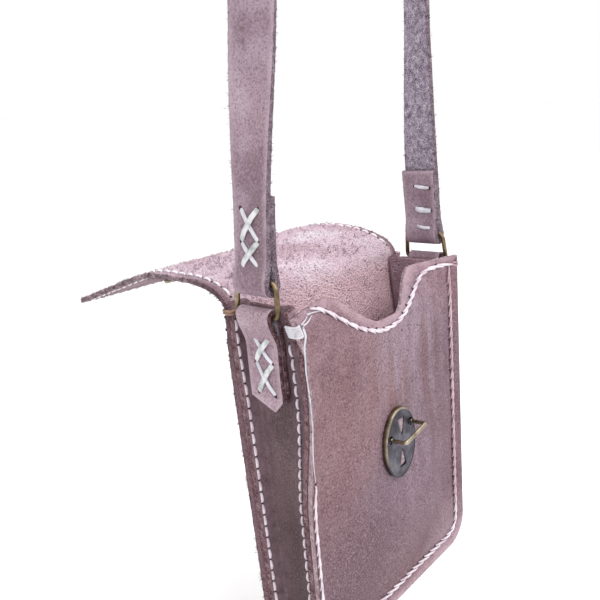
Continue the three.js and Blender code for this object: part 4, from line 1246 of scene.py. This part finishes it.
def oval(inset):  # outline of the plate
    turns = np.arange(ovalSteps) * 2 * math.pi / ovalSteps
    wide, tall = clasp["wide"] / 2 - inset, clasp["tall"] / 2 - inset
    return np.stack([wide * np.cos(turns), tall * np.sin(turns)], -1)


def raised(outline, height=0.0):  # flat outline at a height
    return np.insert(outline, 2, height, axis=1)


def roundedCorners(corners, radius):
    corners = np.asarray(corners, float)
    path = []
    for i, spot in enumerate(corners):
        before, after = unit(corners[i - 1] - spot), unit(corners[(i + 1) % len(corners)] - spot)
        back = radius / math.tan(math.acos(before @ after) / 2)
        start, end = spot + before * back, spot + after * back
        for t in np.linspace(0, 1, 5):
            path.append((1 - t) ** 2 * start + 2 * t * (1 - t) * spot + t ** 2 * end)
    return np.array(path)


def cutPlate(outlines, thick, bevel):  # a flat plate with holes and eased edges
    data = bpy.data.curves.new("plate", "CURVE")
    data.dimensions, data.fill_mode = "2D", "BOTH"
    data.extrude, data.bevel_depth, data.bevel_resolution = thick / 2 - bevel, bevel, 2
    data.offset = -bevel
    for outline in outlines:
        spline = data.splines.new("POLY")
        spline.points.add(len(outline) - 1)
        spline.points.foreach_set("co", np.insert(raised(outline), 3, 1, axis=1).ravel())
        spline.use_cyclic_u = True
    holder = bpy.data.objects.new("plate", data)
    mesh = holder.to_mesh()
    points = np.array([v.co for v in mesh.vertices]) + (0, 0, thick / 2)
    faces = [list(p.vertices) for p in mesh.polygons]
    holder.to_mesh_clear()
    bpy.data.objects.remove(holder)
    bpy.data.curves.remove(data)
    return points, faces


def rimBand():  # turned edge of an oval plate, from rows of inset and height
    points = np.stack([raised(oval(inset), high) for inset, high in plateRim], 1)
    index = np.arange(points[..., 0].size).reshape(ovalSteps, -1)
    after = np.roll(index, -1, 0)
    faces = np.stack([index, after, np.roll(after, -1, 1), np.roll(index, -1, 1)], -1)
    return points.reshape(-1, 3), faces.reshape(-1, 4).tolist()


def ovalPlate(*cuts):  # face and rim, with the cuts through the face
    return [cutPlate([oval(clasp["faceInset"]), *cuts], clasp["face"], clasp["bevel"]), rimBand()]


def makeClaspPlate():
    apex, end, wing, middle = (clasp[key] for key in ("apex", "windowEnd", "windowHalf", "windowX"))
    wide, tall = clasp["slotWide"] / 2, clasp["slotTall"] / 2
    cuts, pins = [], []
    for way in (1, -1):
        corners = [(middle, way * apex), (middle + wing, way * end), (middle - wing, way * end)]
        cuts.append(roundedCorners(corners[::way], clasp["windowRound"]))
    for x in (-legX, legX):
        corners = [(x - wide, -tall), (x + wide, -tall), (x + wide, tall), (x - wide, tall)]
        cuts.append(onLoop(raised(roundedCorners(corners, clasp["slotRound"])))[:, :2])
        pin = [(x + share * clasp["pinSpan"], 0, clasp["thick"]) for share in np.linspace(-0.5, 0.5, 6)]
        points, faces = tube(pin, (0, 0, 1.0), clasp["pin"], clasp["pin"], 12)
        pins.append((onLoop(points), faces))
    parts = [*ovalPlate(*cuts), *pins]
    points, faces = gather(parts)
    onRim = np.concatenate([np.full(len(f), k == 1) for k, (_, f) in enumerate(parts)])
    made = newPiece("claspPlate", onClasp(points), faces, [darkBrass, rimBrass], "dark_brass", indices=onRim)
    x, y = points[:, 0] / clasp["wide"], points[:, 1] / clasp["tall"]
    carry(made, "wearAndHighlight", smooth((1.6 * y - 1.2 * x - 0.05) / 0.7))  # painted highlight, most at the upper left where light falls
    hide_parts("clasp_plate")


def makeClaspLoop():  # drawn from the hinge, then lifted
    top, bend = clasp["reach"] - clasp["bar"] / 2, clasp["bend"] - clasp["bar"] / 2
    turns = np.linspace(0, math.pi / 2, 8)
    right = np.stack([legX - bend + bend * np.cos(turns), 0 * turns, top - bend + bend * np.sin(turns)], -1)
    right = np.vstack([(legX, 0, clasp["eye"] - 0.15), right])
    path = along(np.vstack([right, (right * (-1, 1, 1))[::-1]]), 0.45)
    pieces = [tube(path, (0, 1.0, 0), clasp["bar"], clasp["barTall"], 14)]
    turns = np.arange(20) * math.pi / 10
    middle, wall = (clasp["eye"] + clasp["bore"]) / 2, clasp["eye"] - clasp["bore"]
    for x in (-legX, legX):
        eye = np.stack([np.full(20, x), middle * np.cos(turns), middle * np.sin(turns)], -1)
        pieces.append(tube(eye, (1.0, 0, 0), wall, clasp["bar"], 10, closed=True))
    points, faces = gather(pieces)
    x, y, z = points.T
    y, z = turned(y, z, -clasp["lift"])
    points = onLoop(np.stack([x, y, z + clasp["thick"]], -1))
    made = newPiece("claspLoop", onClasp(points), faces, [loopBrass], "antique_brass", "clasp_bow")
    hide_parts("clasp_loop")


def makeFlapPlate():
    spot, ahead = backFlapPoint(0.0, backLength + flap["slotAt"] + np.array([0.0, 1.0]))
    normal = onFlap(np.array([(0.0, backLength + flap["slotAt"])]))[1][0]
    axes = np.stack([(-1.0, 0, 0), unit(spot - ahead), normal])
    axes[0] *= np.sign(np.linalg.det(axes))
    points, faces = gather(ovalPlate(slotOutline()))
    points = (points + (0, 0, straps["gap"])) @ axes + spot
    made = newPiece("flapPlate", points, faces, [antiqueBrass], "antique_brass")
    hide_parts("flap_plate")


makeClaspPlate()
makeClaspLoop()
makeFlapPlate()
print("clasp made")

# stage
stage = {"floor": -0.74, "half": 14.0, "tone": "ffffff", "world": 1.0, "aim": (0, 0, -0.55)}
floor = bpy.data.objects.new("floor", bpy.data.meshes.new("floor"))
ways = ((-1, -1), (1, -1), (1, 1), (-1, 1))
corners = [(x * stage["half"], y * stage["half"], stage["floor"]) for x, y in ways]
floor.data.from_pydata(corners, [], [(0, 1, 2, 3)])
paper, paperShader, _ = newFinish("paleFloor")
fill(paperShader, {"Base Color": stage["tone"], "Roughness": 0.9})
floor.data.materials.append(paper)
scene.collection.objects.link(floor)

world = bpy.data.worlds.new("softWorld")
world.use_nodes = True
fill(world.node_tree.nodes["Background"], {"Color": stage["tone"], "Strength": stage["world"]})
scene.world = world

lamps = {"key": {"place": (0.8, -1.0, 0.6), "size": 1.0, "power": 5},
         "front": {"place": (-0.2, -0.75, 0.6), "size": 0.8, "power": 6},
         "top": {"place": (0.15, 0.25, 0.9), "size": 1.2, "power": 8}}
for name, look in lamps.items():
    lamp = bpy.data.objects.new(name, bpy.data.lights.new(name, "AREA"))
    lamp.data.size, lamp.data.energy = look["size"], look["power"]
    lamp.location = look["place"]
    lamp.rotation_euler = (Vector(stage["aim"]) - lamp.location).to_track_quat("-Z", "Y").to_euler()
    scene.collection.objects.link(lamp)
print("stage set")
